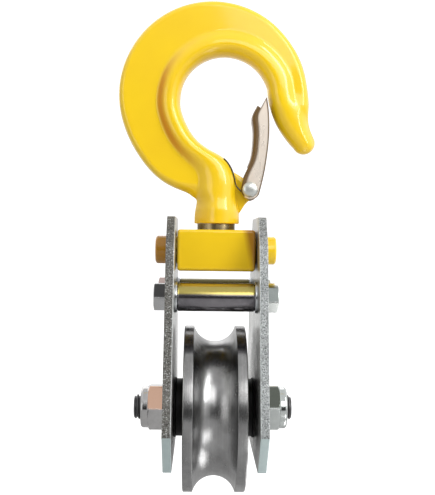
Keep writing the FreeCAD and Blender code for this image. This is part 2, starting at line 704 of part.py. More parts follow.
def nose_stations():
    """Past the bowl: inner point from the bowl's edge, direction across, width and half thickness, with
    the lengths as shares of the bowl's radius."""
    edge = Vector(size.bowl_shift + size.bowl_radius, 0, size.bowl_rise)
    nose = [
        (Vector(0.102, 0, -0.335), 14, 0.756, 0.335),
        (Vector(0.29, 0, -0.693), 25, 0.642, 0.307),
        (Vector(0.472, 0, -0.932), 33, 0.574, 0.278),
        (Vector(0.585, 0, -1.051), 28, 0.517, 0.25),
    ]
    stations = []
    for number, (shift, angle, width_share, half_share) in enumerate(nose):
        across = Vector(math.cos(math.radians(angle)), 0, math.sin(math.radians(angle)))
        start = edge + shift * size.bowl_radius
        width, half = width_share * size.bowl_radius, half_share * size.bowl_radius
        rib_share = 0.6 + 0.4 * number / (len(nose) - 1)
        stations.append((start, start + across * width, width * rib_share, half, half * 0.9))
    start, end, width, half = stations[-1][:4]
    ahead = Vector(across.z, 0, -across.x)
    for share in (0.5, 0.8, 0.97):
        shrink = math.sqrt(1 - share ** 2)
        middle = (start + end) / 2 + ahead * half * share
        reach = (end - start) / 2 * shrink
        stations.append((middle - reach, middle + reach, width * shrink, half * shrink, half * shrink * 0.5))
    return stations


def section_wire(inner, outer, rib_width, rib_half, web_half):
    """A closed smooth section: a round rib at the inner side and a thinner web out to the outer side."""
    across = outer - inner
    width = across.Length
    across.normalize()
    count = 28
    points = []
    for index in range(count):
        turn = 2 * math.pi * index / count
        along = width * (1 - math.cos(turn)) / 2
        half = section_half(along, width, rib_width, rib_half, web_half)
        points.append(inner + across * along + Vector(0, math.copysign(half, math.sin(turn)), 0))
    curve = Part.BSplineCurve()
    curve.interpolate(Points=points, PeriodicFlag=True, Parameters=[float(n) for n in range(count + 1)])
    return Part.Wire(curve.toShape())


def section_half(along, width, rib_width, rib_half, web_half):
    """Half the thickness at a distance from the inner side: the rib's ellipse joined smoothly to the web."""
    from_rib = abs(2 * along / rib_width - 1)
    rib = rib_half * math.sqrt(max(0, 1 - from_rib ** 2))
    web_start = rib_width * 0.35
    from_web = abs((2 * along - web_start - width) / (width - web_start))
    web = web_half * max(0, 1 - from_web ** 3.5) ** (1 / 3.5)
    return (rib ** 6 + web ** 6) ** (1 / 6)


def rivet_hole():
    hole = doc.addObject("Part::Cylinder", "rivet_hole")
    hole.Placement = Placement(Vector(), along_y)
    bind(hole, Radius="Layout.rivet_radius + Sizes.seat_gap", Height="2 * Sizes.latch_width",
         Placement_Base_x="Sizes.pivot_shift", Placement_Base_y="-Sizes.latch_width",
         Placement_Base_z="Layout.pivot_height")
    return hole


def make_lug():
    """The fin on the neck that carries the latch: an eye round the rivet and a web back to the shank."""
    eye = doc.addObject("Part::Cylinder", "lug_eye")
    eye.Placement = Placement(Vector(), along_y)
    bind(eye, Radius="Sizes.lug_eye", Height="Sizes.lug_thickness", Placement_Base_x="Sizes.pivot_shift",
         Placement_Base_y="-Sizes.lug_thickness / 2", Placement_Base_z="Layout.pivot_height")
    web = doc.addObject("PartDesign::Body", "lug_web")
    sketch = bound_sketch(web, "lug_web_outline", "XZ_Plane", [
        ("0", "Layout.pivot_height - Sizes.pivot_rise + Sizes.neck_length"),
        ("Sizes.collar_diameter / 2", "Layout.pivot_height - 2.6 * Sizes.lug_eye"),
        ("Sizes.pivot_shift + 0.64 * Sizes.lug_eye", "Layout.pivot_height - 0.77 * Sizes.lug_eye"),
        ("Sizes.pivot_shift + 0.5 * Sizes.lug_eye", "Layout.pivot_height + 0.86 * Sizes.lug_eye"),
        ("Sizes.pivot_shift - 0.4 * Sizes.lug_eye", "Layout.pivot_height + 1.5 * Sizes.lug_eye"),
        ("0", "Layout.pivot_height + 1.6 * Sizes.lug_eye"),
    ])
    pad = web.newObject("PartDesign::Pad", "lug_web_pad")
    pad.Profile = sketch
    pad.Midplane = True
    bind(pad, Length="Sizes.lug_thickness")
    doc.recompute()
    return combine("Fuse", "latch_lug", Base=eye, Tool=web)


def make_rivet():
    """A shank through lug and latch with a low dome on each side."""
    face = "(Layout.latch_face + Sizes.running_gap)"
    head, dome = "Sizes.rivet_head_diameter / 2", "Sizes.rivet_head"
    half = [
        (f"{face} + {dome}", "0"),
        (f"{face} + {dome} * 0.94", f"{head} * 0.4"),
        (f"{face} + {dome} * 0.74", f"{head} * 0.72"),
        (f"{face} + {dome} * 0.4", f"{head} * 0.93"),
        (face, head),
        (face, "Layout.rivet_radius"),
    ]
    other = [(f"-({along})", radius) for along, radius in reversed(half)]
    rivet = turned("latch_rivet", half + other)
    rivet.Placement = Placement(Vector(), Rotation(Vector(0, 0, 1), 90))
    bind(rivet, Placement_Base_x="Sizes.pivot_shift", Placement_Base_z="Layout.pivot_height")
    doc.recompute()
    keep(rivet, "latch_rivet")


def latch_outline():
    """Height above the pivot, back of the spine and edge of the ears, in steps up the latch. The heights
    are shares of the ear tip's height, the other two shares of the foot's radius."""
    steps = [
        (-0.115, -1.114, 0.734),
        (0.0055, -1.013, 1.025),
        (0.153, -0.684, 1.342),
        (0.317, -0.025, 1.595),
        (0.516, 0.253, 1.797),
        (0.697, 0.228, 1.848),
        (0.795, 0.152, 1.81),
        (size.latch_spine_tip / size.latch_tip, 0.658, 1.696),
        (1.011, 0.911, 1.544),
    ]
    return [(height * size.latch_tip, back * size.latch_foot, edge * size.latch_foot)
            for height, back, edge in steps]


def channel_wire(height, back, edge):
    """A level section of the latch: two ears joined by a spine with round bends."""
    wall, bend, face = size.latch_wall, size.latch_bend, place.latch_face
    outer = channel_half(back, edge, face, bend)
    inner = channel_half(back + wall, edge, face - wall, bend - wall)
    points = outer + [Vector(p.x, -p.y, 0) for p in reversed(outer)]
    inside = [Vector(p.x, -p.y, 0) for p in inner] + list(reversed(inner))
    edges = half_edges(points) + [Part.makeLine(points[-1], inside[0])]
    edges += half_edges(inside) + [Part.makeLine(inside[-1], points[0])]
    wire = Part.Wire(edges)
    wire.translate(Vector(0, 0, height))
    return wire


def channel_half(back, edge, face, bend):
    """Ear edge, bend start, middle of the bend and bend end, on the side of positive Y."""
    slant = bend * (1 - math.sqrt(0.5))
    return [Vector(edge, face, 0), Vector(back + bend, face, 0),
            Vector(back + slant, face - slant, 0), Vector(back, face - bend, 0)]


def half_edges(points):
    first, last = points[:4], points[4:]
    return [
        Part.makeLine(first[0], first[1]),
        Part.Arc(first[1], first[2], first[3]).toShape(),
        Part.makeLine(first[3], last[0]),
        Part.Arc(last[0], last[1], last[2]).toShape(),
        Part.makeLine(last[2], last[3]),
    ]


def make_latch():
    """A stamped channel: ears round the rivet, a notched spine and a slanted cut top."""
    blank = doc.addObject("Part::Feature", "latch_blank")
    blank.Shape = Part.makeLoft([channel_wire(*level) for level in latch_outline()], True, False)
    bind(blank, Placement_Base_x="Sizes.pivot_shift", Placement_Base_z="Layout.pivot_height")
    below = "Layout.pivot_height - 2 * Sizes.latch_foot"
    corner = latch_box("latch_foot_block", "-2 * Sizes.latch_foot", "4 * Sizes.latch_foot",
                       "2 * Layout.latch_face", below, "2 * Sizes.latch_foot")
    round_foot = doc.addObject("Part::Cylinder", "latch_foot_round")
    round_foot.Placement = Placement(Vector(), along_y)
    bind(round_foot, Radius="Sizes.latch_foot", Height="4 * Layout.latch_face",
         Placement_Base_x="Sizes.pivot_shift", Placement_Base_y="-2 * Layout.latch_face",
         Placement_Base_z="Layout.pivot_height")
    foot = combine("Cut", "latch_foot_corner", Base=corner, Tool=round_foot)
    notch = latch_box("latch_notch", "-2 * Sizes.latch_foot", "2 * Sizes.latch_foot + Sizes.latch_bend",
                      "Layout.latch_inside", below, "2 * Sizes.latch_foot + Sizes.latch_notch")
    hole = doc.addObject("Part::Cylinder", "latch_eye")
    hole.Placement = Placement(Vector(), along_y)
    bind(hole, Radius="Layout.rivet_radius + Sizes.running_gap", Height="4 * Layout.latch_face",
         Placement_Base_x="Sizes.pivot_shift", Placement_Base_y="-2 * Layout.latch_face",
         Placement_Base_z="Layout.pivot_height")
    cutters = combine("MultiFuse", "latch_cutters", Shapes=[foot, notch, hole, latch_top()])
    keep(combine("Cut", "latch", Base=blank, Tool=cutters), "latch")


def latch_box(name, start, length, half_width, bottom, height):
    box = doc.addObject("Part::Box", name)
    bind(box, Length=length, Width=f"2 * ({half_width})", Height=height,
         Placement_Base_x=f"Sizes.pivot_shift + {start}", Placement_Base_y=f"-({half_width})",
         Placement_Base_z=bottom)
    return box


def latch_top():
    """What is cut away above the spine's tip, the notch beside it and the pointed ears."""
    body = doc.addObject("PartDesign::Body", "latch_top")
    back, edge = latch_outline()[-2][1:]
    spine_tip = f"Sizes.pivot_shift + {back}"
    ear_tip = f"Sizes.pivot_shift + {edge} - Sizes.spring_wire"
    above = "Layout.pivot_height + 2 * Sizes.latch_cut"
    sketch = bound_sketch(body, "latch_top_outline", "XZ_Plane", [
        ("0", "Layout.pivot_height + Sizes.latch_spine_tip"),
        (spine_tip, "Layout.pivot_height + Sizes.latch_spine_tip"),
        (f"{spine_tip} + Sizes.latch_wall", "Layout.pivot_height + Sizes.latch_cut"),
        (ear_tip, "Layout.pivot_height + Sizes.latch_tip"),
        (f"{ear_tip} + Sizes.latch_bend", "Layout.pivot_height + Sizes.latch_tip"),
        (f"{ear_tip} + Sizes.latch_bend", above),
        ("0", above),
    ])
    pad = body.newObject("PartDesign::Pad", "latch_top_pad")
    pad.Profile = sketch
    pad.Midplane = True
    bind(pad, Length="2 * Sizes.latch_width")
    doc.recompute()
    return body


def make_latch_spring():
    """A torsion coil beside the lug. One leg lies on the hook's neck, the other stands in the latch."""
    radius, pitch = size.spring_radius, size.spring_wire + size.running_gap
    across = place.latch_inside - size.spring_wire / 2 - size.loose_gap
    start_angle, end_angle = 216, 720
    leg = [neck_point(share, across) for share in (0.39, 0.34, 0.29, 0.24, 0.19, 0.14, 0.11)]
    coil = []
    for angle in range(start_angle, end_angle + 1, 18):
        turn = math.radians(angle)
        along = -across + pitch * (angle - start_angle) / 360
        coil.append(Vector(size.pivot_shift + radius * math.cos(turn), along,
                           place.pivot_height + radius * math.sin(turn)))
    keep(bent_wire("latch_spring", leg + coil), "latch_spring")
    foot = coil[-1]
    reach = size.spring_leg
    stand = [foot + Vector(0, 0, reach * share) for share in (0.02, 0.3, 0.6, 0.85)]
    bend = [foot + Vector(0, 0.1 * reach, reach), foot + Vector(0, 0.4 * reach, reach)]
    keep(bent_wire("latch_spring_leg", stand + bend), "latch_spring_leg")


def neck_point(share, across):
    """A place for the spring's wire on the neck's inner side, at a distance in front of the middle."""
    inner, outer, rib_width, rib_half = neck_station(share)[:4]
    depth = rib_width / 2 * (1 - math.sqrt(1 - (across / rib_half) ** 2))
    clear = size.spring_wire / 2 + 2 * size.running_gap
    point = inner + (outer - inner).normalize() * (depth - clear)
    return point + Vector(0, -across, place.collar_bottom)


def bent_wire(name, points):
    """Wire swept along short straight runs with mitred joints."""
    section = Part.Wire(Part.makeCircle(size.spring_wire / 2, points[0], points[1] - points[0]))
    mitred = 1
    result = doc.addObject("Part::Feature", name)
    result.Shape = Part.makePolygon(points).makePipeShell([section], True, False, mitred)
    return result


make_sheave()
for side_name, side in sides.items():
    make_bearing(side_name, side)
    make_circlip(side_name, side)
    make_bearing_spacer(side_name, side)
    make_side_plate(side_name, side)
make_axle()
make_axle_nut("left", -1, tilt=6)
make_axle_nut("right", 1, tilt=10)
make_guard("front", -1, head_tilt=0, nut_tilt=-14)
make_guard("rear", 1, head_tilt=30, nut_tilt=8)
make_crosshead()
make_shank_nut()
make_hook()
make_rivet()
make_latch()
make_latch_spring()
doc.recompute()

for item in doc.Objects:
    if "Invalid" in item.State or "Error" in item.State:
        raise RuntimeError(f"{item.Name} failed: {item.State}")
for part in parts:
    if part.Shape.isNull() or not part.Shape.isValid():
        raise RuntimeError(f"{part.Label} has no valid shape")

os.makedirs("parts", exist_ok=True)
for part in parts:
    part.Shape.exportStep(f"parts/{part.Label}.step")
    print(part.Label, len(part.Shape.Solids), round(part.Shape.Volume, 1))
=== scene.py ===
import random
from math import asin, atan2, ceil, copysign, cos, degrees, dist, hypot, inf, pi, radians, sin, sqrt

import bmesh
import bpy
import numpy as np
from mathutils import Matrix, Vector


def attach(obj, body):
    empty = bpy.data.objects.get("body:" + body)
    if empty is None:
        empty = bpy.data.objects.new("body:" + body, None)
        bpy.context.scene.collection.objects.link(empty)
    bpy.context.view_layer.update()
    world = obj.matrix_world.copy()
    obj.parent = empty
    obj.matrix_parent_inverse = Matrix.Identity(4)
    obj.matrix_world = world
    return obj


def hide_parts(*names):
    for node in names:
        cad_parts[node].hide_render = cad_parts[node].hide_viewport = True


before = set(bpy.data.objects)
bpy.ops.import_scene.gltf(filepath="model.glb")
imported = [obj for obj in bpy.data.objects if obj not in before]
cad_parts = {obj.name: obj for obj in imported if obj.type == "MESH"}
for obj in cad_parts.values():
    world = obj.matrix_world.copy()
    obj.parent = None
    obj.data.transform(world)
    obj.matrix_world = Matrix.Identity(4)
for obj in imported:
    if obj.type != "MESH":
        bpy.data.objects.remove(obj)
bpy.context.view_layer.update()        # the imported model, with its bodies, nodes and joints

# Sizes are in millimetres and become metres where a mesh is made.
# X runs along the sheave's axle, Y from front to back, Z up, from the middle of the sheave.
mm = 0.001
nearAxis = 0.05     # radius at which a turned outline ends beside its axis


def addObject(name, data):
    made = bpy.data.objects.new(name, data)
    bpy.context.scene.collection.objects.link(made)
    return made


def modify(piece, name, kind, **settings):
    modifier = piece.modifiers.new(name, kind)
    for setting, value in settings.items():
        setattr(modifier, setting, value)
    return modifier


def baked(piece):
    # the piece with its modifiers worked into a plain mesh
    depsgraph = bpy.context.evaluated_depsgraph_get()
    mesh = bpy.data.meshes.new_from_object(piece.evaluated_get(depsgraph))
    piece.modifiers.clear()
    piece.data = mesh
    mesh.name = piece.name
    return piece


def filledCurve(name, curve):
    # a piece with the mesh that Blender makes of a curve
    source = addObject(name + "_source", curve)
    mesh = bpy.data.meshes.new_from_object(source)
    bpy.data.objects.remove(source)
    return addObject(name, mesh)


def sharpen(piece, angle):
    piece.data.set_sharp_from_angle(angle=radians(angle))


def makeMesh(name, points, faces, sharpAngle=0):
    mesh = bpy.data.meshes.new(name)
    mesh.from_pydata([(x * mm, y * mm, z * mm) for x, y, z in points], [], faces)
    mesh.validate()
    mesh.shade_smooth()
    piece = addObject(name, mesh)
    if sharpAngle:
        sharpen(piece, sharpAngle)
    return piece


def skinRings(rings, ends="poles"):
    # rings of equal length, joined in order; ends are closed with a pole, or joined to each other
    count = len(rings[0])
    points = [point for ring in rings for point in ring]
    around = [(i, (i + 1) % count) for i in range(count)]
    faces = []
    for row in range(len(rings) - (ends != "joined")):
        low, high = row * count, (row + 1) % len(rings) * count
        faces += [(low + i, low + j, high + j, high + i) for i, j in around]
    if ends == "poles":
        for base, flip in ((0, True), ((len(rings) - 1) * count, False)):
            ring, pole = points[base:base + count], len(points)
            points.append(tuple(sum(point[axis] for point in ring) / count for axis in range(3)))
            faces += [(base + j, base + i, pole) if flip else (base + i, base + j, pole) for i, j in around]
    return points, faces


def facesOutwards(piece):
    # turns a closed mesh the right way out if its signed volume is negative
    solid = bmesh.new()
    solid.from_mesh(piece.data)
    if solid.calc_volume(signed=True) < 0:
        piece.data.flip_normals()
    solid.free()
    return piece


def polar(radius, angle, centre=(0, 0)):
    turn = radians(angle)
    return centre[0] + radius * cos(turn), centre[1] + radius * sin(turn)


def bezierPoint(handles, share):
    while len(handles) > 1:
        handles = [first.lerp(second, share) for first, second in zip(handles, handles[1:])]
    return handles[0]


def roundCorners(outline, radius, steps=4, most=0.45):
    # replaces every corner of a closed outline by a short arc, which takes at most a share of each side
    result = []
    for corners in zip(outline[-1:] + outline[:-1], outline, outline[1:] + outline[:1]):
        before, corner, after = map(Vector, corners)
        reach = min(radius, (before - corner).length * most, (after - corner).length * most)
        start = corner + (before - corner).normalized() * reach
        end = corner + (after - corner).normalized() * reach
        result += [tuple(bezierPoint([start, corner, end], i / steps)) for i in range(steps + 1)]
    return result


def ringOutline(low, high, bore, radius, edge, steps=3):
    return roundCorners([(low, bore), (low, radius), (high, radius), (high, bore)], edge, steps)


def mirrored(outline):
    return [(-along, radius) for along, radius in reversed(outline)]


def mix(first, second, share):
    return first + (second - first) * share


def smoothShare(value, start, end):
    share = min(max((value - start) / (end - start), 0), 1)
    return share * share * (3 - 2 * share)


def softMinimum(first, second, blend=0.1):
    gap = max(blend - abs(first - second), 0) / blend
    return min(first, second) - gap * gap * blend / 4


def hexagonRadius(angle, flats, tilt, softness=70):
    # distance to a six-sided outline with slightly rounded corners; tilt raises the corner at the front
    total = sum(max(cos(angle - radians(210 - tilt + 60 * side)), 0) ** softness for side in range(6))
    return flats / 2 / total ** (1 / softness)


def turnedPiece(name, outline, centre=(0, 0), segments=96, flats=0, tilt=0, ends="joined", sharpAngle=40,
                mirror=1):
    # outline of (along, radius) turned about X; with flats a hexagon trims it
    turns = [2 * pi * i / segments for i in range(segments)]
    limits = [hexagonRadius(turn, flats, tilt) if flats else inf for turn in turns]
    rings = []
    for along, radius in outline:
        reaches = [softMinimum(radius, limit) for limit in limits]
        rings.append([(along * mirror, centre[0] + reach * cos(turn), centre[1] + reach * sin(turn))
                      for turn, reach in zip(turns, reaches)])
    return facesOutwards(makeMesh(name, *skinRings(rings, ends), sharpAngle))


def divided(outline, longest):
    # adds points so that no run of the outline is longer than longest
    result = []
    for start, end in zip(outline, outline[1:]):
        count = max(1, ceil(dist(start, end) / longest))
        result += [tuple(mix(a, b, i / count) for a, b in zip(start, end)) for i in range(count)]
    return result + [outline[-1]]


def outlineNormals(outline):
    # for an outline that runs counter-clockwise
    ahead = [(Vector(after) - Vector(before)).normalized()
             for before, after in zip(outline[-1:] + outline[:-1], outline[1:] + outline[:1])]
    return [(way.y, -way.x) for way in ahead]


def splineRows(rows, steps):
    # a natural cubic spline through rows of numbers, spaced by the first four or fewer of each
    rows = np.array(rows, float)
    spans = np.maximum(np.linalg.norm(np.diff(rows[:, :4], axis=0), axis=1), 1e-6)
    count = len(rows)
    system, right = np.eye(count), np.zeros_like(rows)
    for i in range(1, count - 1):
        system[i, i - 1:i + 2] = spans[i - 1], 2 * (spans[i - 1] + spans[i]), spans[i]
        right[i] = 6 * ((rows[i + 1] - rows[i]) / spans[i] - (rows[i] - rows[i - 1]) / spans[i - 1])
    bend = np.linalg.solve(system, right)
    result = []
    for i, span in enumerate(spans):
        for step in range(steps + (i == count - 2)):
            a, b = 1 - step / steps, step / steps
            result.append(tuple(a * rows[i] + b * rows[i + 1]
                                + ((a ** 3 - a) * bend[i] + (b ** 3 - b) * bend[i + 1]) * span ** 2 / 6))
    return result


def mathsMethod(operation, swapped=False):
    def method(self, other):
        return self.graph.maths(operation, *((other, self) if swapped else (self, other)))
    return method


class Value:
    # a socket that adds Math nodes when it is used in a sum
    def __init__(self, graph, socket):
        self.graph, self.socket = graph, socket

    __add__ = __radd__ = mathsMethod("ADD")
    __sub__, __rsub__ = mathsMethod("SUBTRACT"), mathsMethod("SUBTRACT", True)
    __mul__ = __rmul__ = mathsMethod("MULTIPLY")
    __truediv__ = mathsMethod("DIVIDE")


class Graph:
    # a node tree; every node is made by its method node
    def __init__(self, tree):
        self.tree = tree

    def node(self, kind, settings=None, sockets=None, output=0):
        made = self.tree.nodes.new(kind)
        for setting, value in (settings or {}).items():
            setattr(made, setting, value)
        for socket, value in (sockets or {}).items():
            if isinstance(value, Value):
                self.tree.links.new(value.socket, made.inputs[socket])
            else:
                made.inputs[socket].default_value = value
        return Value(self, made.outputs[output]) if made.outputs else made

    def maths(self, operation, *values):
        return self.node("ShaderNodeMath", {"operation": operation}, dict(enumerate(values)))

    def parts(self, vector):
        split = self.node("ShaderNodeSeparateXYZ", sockets={0: vector})
        return [Value(self, socket) for socket in split.socket.node.outputs]


class Finish(Graph):
    # the nodes of a material, or of the world
    def __init__(self, owner):
        owner.use_nodes = True
        super().__init__(owner.node_tree)
        self.owner = owner
        self.tree.nodes.clear()

    def place(self):
        return self.node("ShaderNodeTexCoord", output="Object")

    def painted(self, name):
        return self.node("ShaderNodeAttribute", {"attribute_name": name}, output="Fac")

    def noise(self, scale, detail=3, roughness=0.5, stretch=(1, 1, 1), spot=None):
        spot = spot or self.node("ShaderNodeMapping", sockets={"Vector": self.place(), "Scale": stretch})
        return self.node("ShaderNodeTexNoise", sockets={"Vector": spot, "Scale": scale, "Detail": detail,
                                                        "Roughness": roughness}, output="Fac")

    def ramp(self, value, low, high, start=0.0, end=1.0):
        return self.node("ShaderNodeMapRange", {"clamp": True}, {
            "Value": value, "From Min": low, "From Max": high, "To Min": start, "To Max": end})

    def band(self, value, low, high, *levels):
        return self.ramp(value, low * mm, high * mm, *levels)

    def blend(self, factor, *tones):
        # tones of three numbers are as read on the screen
        first, second = (colour(tone) if isinstance(tone, tuple) and len(tone) == 3 else tone
                         for tone in tones)
        return self.node("ShaderNodeMix", {"data_type": "RGBA"}, {0: factor, 6: first, 7: second}, output=2)

    def bump(self, height, strength, distance):
        return self.node("ShaderNodeBump", sockets={"Height": height, "Strength": strength,
                                                    "Distance": distance * mm})

    def shade(self, **sockets):
        named = {socket.replace("_", " "): value for socket, value in sockets.items()}
        surface = self.node("ShaderNodeBsdfPrincipled", sockets=named)
        self.node("ShaderNodeOutputMaterial", sockets={"Surface": surface})
        return self.owner


def newFinish(name):
    return Finish(bpy.data.materials.new(name))


def colour(tone):
    # a colour as it is read on the screen, from 0 to 255
    shares = [level / 255 for level in tone]
    return (*(share / 12.92 if share <= 0.04045 else ((share + 0.055) / 1.055) ** 2.4
              for share in shares), 1)


# where painted shade darkens the crosshead: the left trunnion's end, and a slanted band at the upper right
# corner
shadeSpots = {"trunnionEnd": (-18.7, -19.5), "cornerSlope": 0.227, "corner": (25.6, 28.2), "side": (15.4, 15.2)}


def enamelFinish(name, paint, deep, gloss, peel, spotShade=0.0):
    # sprayed enamel: slight unevenness, and a deeper tone that is painted shade: on the rib's slope in the
    # forging's hollow, on the bowl's left, and for the crosshead on the left trunnion's end and at its upper
    # right corner
    tree = newFinish(name)
    clouds, grain, slopeShade = tree.noise(60, 2), tree.noise(900, 2), tree.painted("slopeShade")
    tone = tree.blend(tree.ramp(clouds, 0.35, 0.7, 0, 0.1), paint, deep)
    along, up = tree.parts(tree.place())[::2]
    # painted shade on the left trunnion's end and the crosshead's upper right corner
    leftEnd = tree.band(along, *shadeSpots["trunnionEnd"])
    corner = tree.band(along + up * shadeSpots["cornerSlope"], *shadeSpots["corner"])
    corner = corner * tree.band(along, *shadeSpots["side"])
    return tree.shade(
        Base_Color=tree.blend(slopeShade + (leftEnd + corner) * spotShade, tone, deep),
        Roughness=tree.ramp(clouds, 0.3, 0.7, gloss, gloss + 0.06),
        Specular_IOR_Level=0.3, Coat_Weight=0.9 - slopeShade * 0.75, Coat_Roughness=0.08,
        Normal=tree.bump(grain * 0.6 + clouds * 2, peel, 0.05))


plainMetal = {"stretch": (1, 1, 1), "mottle": 0.5, "blotches": 120, "relief": 0.02, "metallic": 1.0}


def metalFinish(name, bright, dull, gloss, grainScale, grain, special=None):
    # bare or plated metal: blotches of two tones, and a fine grain that may run in one direction
    tree, own, soft = newFinish(name), {**plainMetal, **(special or {})}, 0.4
    cloud = tree.ramp(tree.noise(own["blotches"], 4, 0.6), 0.3, 0.7)
    fine = tree.noise(grainScale, 3, 0.6, own["stretch"])
    tone = tree.blend(cloud * own["mottle"] + fine * 0.3, bright, dull)
    if "over" in own:       # a painted reflection: a second tone above a height, inside a reach along X, in front of a depth
        reflectionTone, height, reach, depth = own["over"]
        along, across, up = tree.parts(tree.place())
        above = tree.band(up + (fine - 0.5) * soft * mm, height - soft, height + soft, 0, 0.9)
        inside = tree.band(tree.maths("ABSOLUTE", along), reach + 0.1, reach)
        tone = tree.blend(above * inside * tree.band(across, depth, depth - soft * 2), tone, reflectionTone)
    return tree.shade(
        Base_Color=tone, Metallic=own["metallic"],
        Roughness=tree.ramp(cloud * 0.6 + fine * 0.8, 0.2, 1.1, gloss * 0.8, gloss * 1.3),
        Normal=tree.bump(fine, grain, own["relief"]))


# bands along the cut edge next to the inner and outer faces, painted as a highlight
edgeHighlight = {"inner": (16.15, 15.85), "outer": (18.5, 18.8), "bright": (236, 240, 240)}


def cutEdgeFinish(name, bright, dull, gloss, outerHighlight):
    # the plate's edge as the torch leaves it under its zinc: pits, drag lines across the wall, bright specks,
    # and a bright band painted as a highlight where it meets the plate's faces
    tree = newFinish(name)
    pits, lines = tree.noise(2300, 4, 0.8), tree.noise(700, 3, 0.6, (0.15, 1, 1))
    patches = tree.ramp(tree.noise(90, 3), 0.35, 0.65)
    specks = tree.ramp(tree.noise(2100, 2, 0.6), 0.58, 0.68)
    tone = tree.blend(tree.ramp(pits, 0.38, 0.62), dull, bright)
    tone = tree.blend(patches * 0.3, tone, dull)
    offset = tree.maths("ABSOLUTE", tree.parts(tree.place())[0])
    edgeLine = tree.band(offset, *edgeHighlight["inner"]) + tree.band(offset, *edgeHighlight["outer"]) * outerHighlight
    return tree.shade(
        Base_Color=tree.blend(specks * 0.6 + edgeLine * 0.5, tone, edgeHighlight["bright"]), Metallic=0.85,
        Roughness=tree.ramp(pits, 0.3, 0.75, gloss, gloss + 0.2),
        Normal=tree.bump(pits * 0.8 + lines * 0.6, 0.7, 0.16))


def plasticFinish(name, base, gloss, grain=0.2):
    tree = newFinish(name)
    mottled = tree.noise(700, 3, 0.6)
    scuffs = tree.ramp(tree.noise(260, 2, 0.5, (1, 1, 0.2)), 0.6, 0.8)
    lighter = (*(min(1, level * 1.6 + 0.004) for level in colour(base)[:3]), 1)
    return tree.shade(
        Base_Color=tree.blend(scuffs * 0.5 + mottled * 0.2, base, lighter),
        Roughness=tree.ramp(mottled, 0.3, 0.7, gloss, gloss + 0.12),
        Normal=tree.bump(mottled, grain, 0.03))


def turnedSheaveFinish(name):
    # fine turning rings round the axle, a little oil film and brighter specks
    tree = newFinish(name)
    along, across, up = tree.parts(tree.place())
    outwards = tree.maths("SQRT", across * across + up * up)
    reach = tree.node("ShaderNodeCombineXYZ", sockets={0: along, 1: outwards})
    rings, broad = tree.noise(5200, 3, 0.65, spot=reach), tree.noise(900, 2, spot=reach)
    film = tree.ramp(tree.noise(75, 4, 0.6), 0.35, 0.7)
    specks = tree.ramp(tree.noise(1300, 2, 0.5), 0.62, 0.75)
    tone = tree.blend(rings * 0.6 + broad * 0.3, (196, 196, 196), (118, 118, 118))
    tone = tree.blend(film * 0.55, tone, (88, 86, 84))
    return tree.shade(
        Base_Color=tree.blend(specks * 0.25, tone, (215, 214, 214)), Metallic=1.0,
        Roughness=tree.ramp(rings * 0.5 + film * 0.5, 0.2, 0.8, 0.2, 0.3),
        Normal=tree.bump(rings * 0.7 + broad * 0.5, 0.8, 0.05))


def latchFinish(name):
    # yellow-passivated zinc sheet: warm pale faces, and brown painted shade round the spine's bends and along
    # the cut edges
    tree = newFinish(name)
    cloud = tree.ramp(tree.noise(140, 4, 0.6, (1, 1, 0.4)), 0.35, 0.7)
    lines = tree.noise(900, 3, 0.6, (1, 1, 0.12))
    tone = tree.blend(cloud * 0.4, (255, 244, 230), (232, 208, 188))
    tone = tree.blend(lines * 0.2, tone, (206, 184, 164))
    return tree.shade(
        Base_Color=tree.blend(tree.painted("bend"), tone, (112, 88, 56)), Metallic=0.35,
        Roughness=tree.ramp(cloud + lines * 0.5, 0.3, 1.2, 0.26, 0.4),
        Normal=tree.bump(lines, 0.15, 0.03))


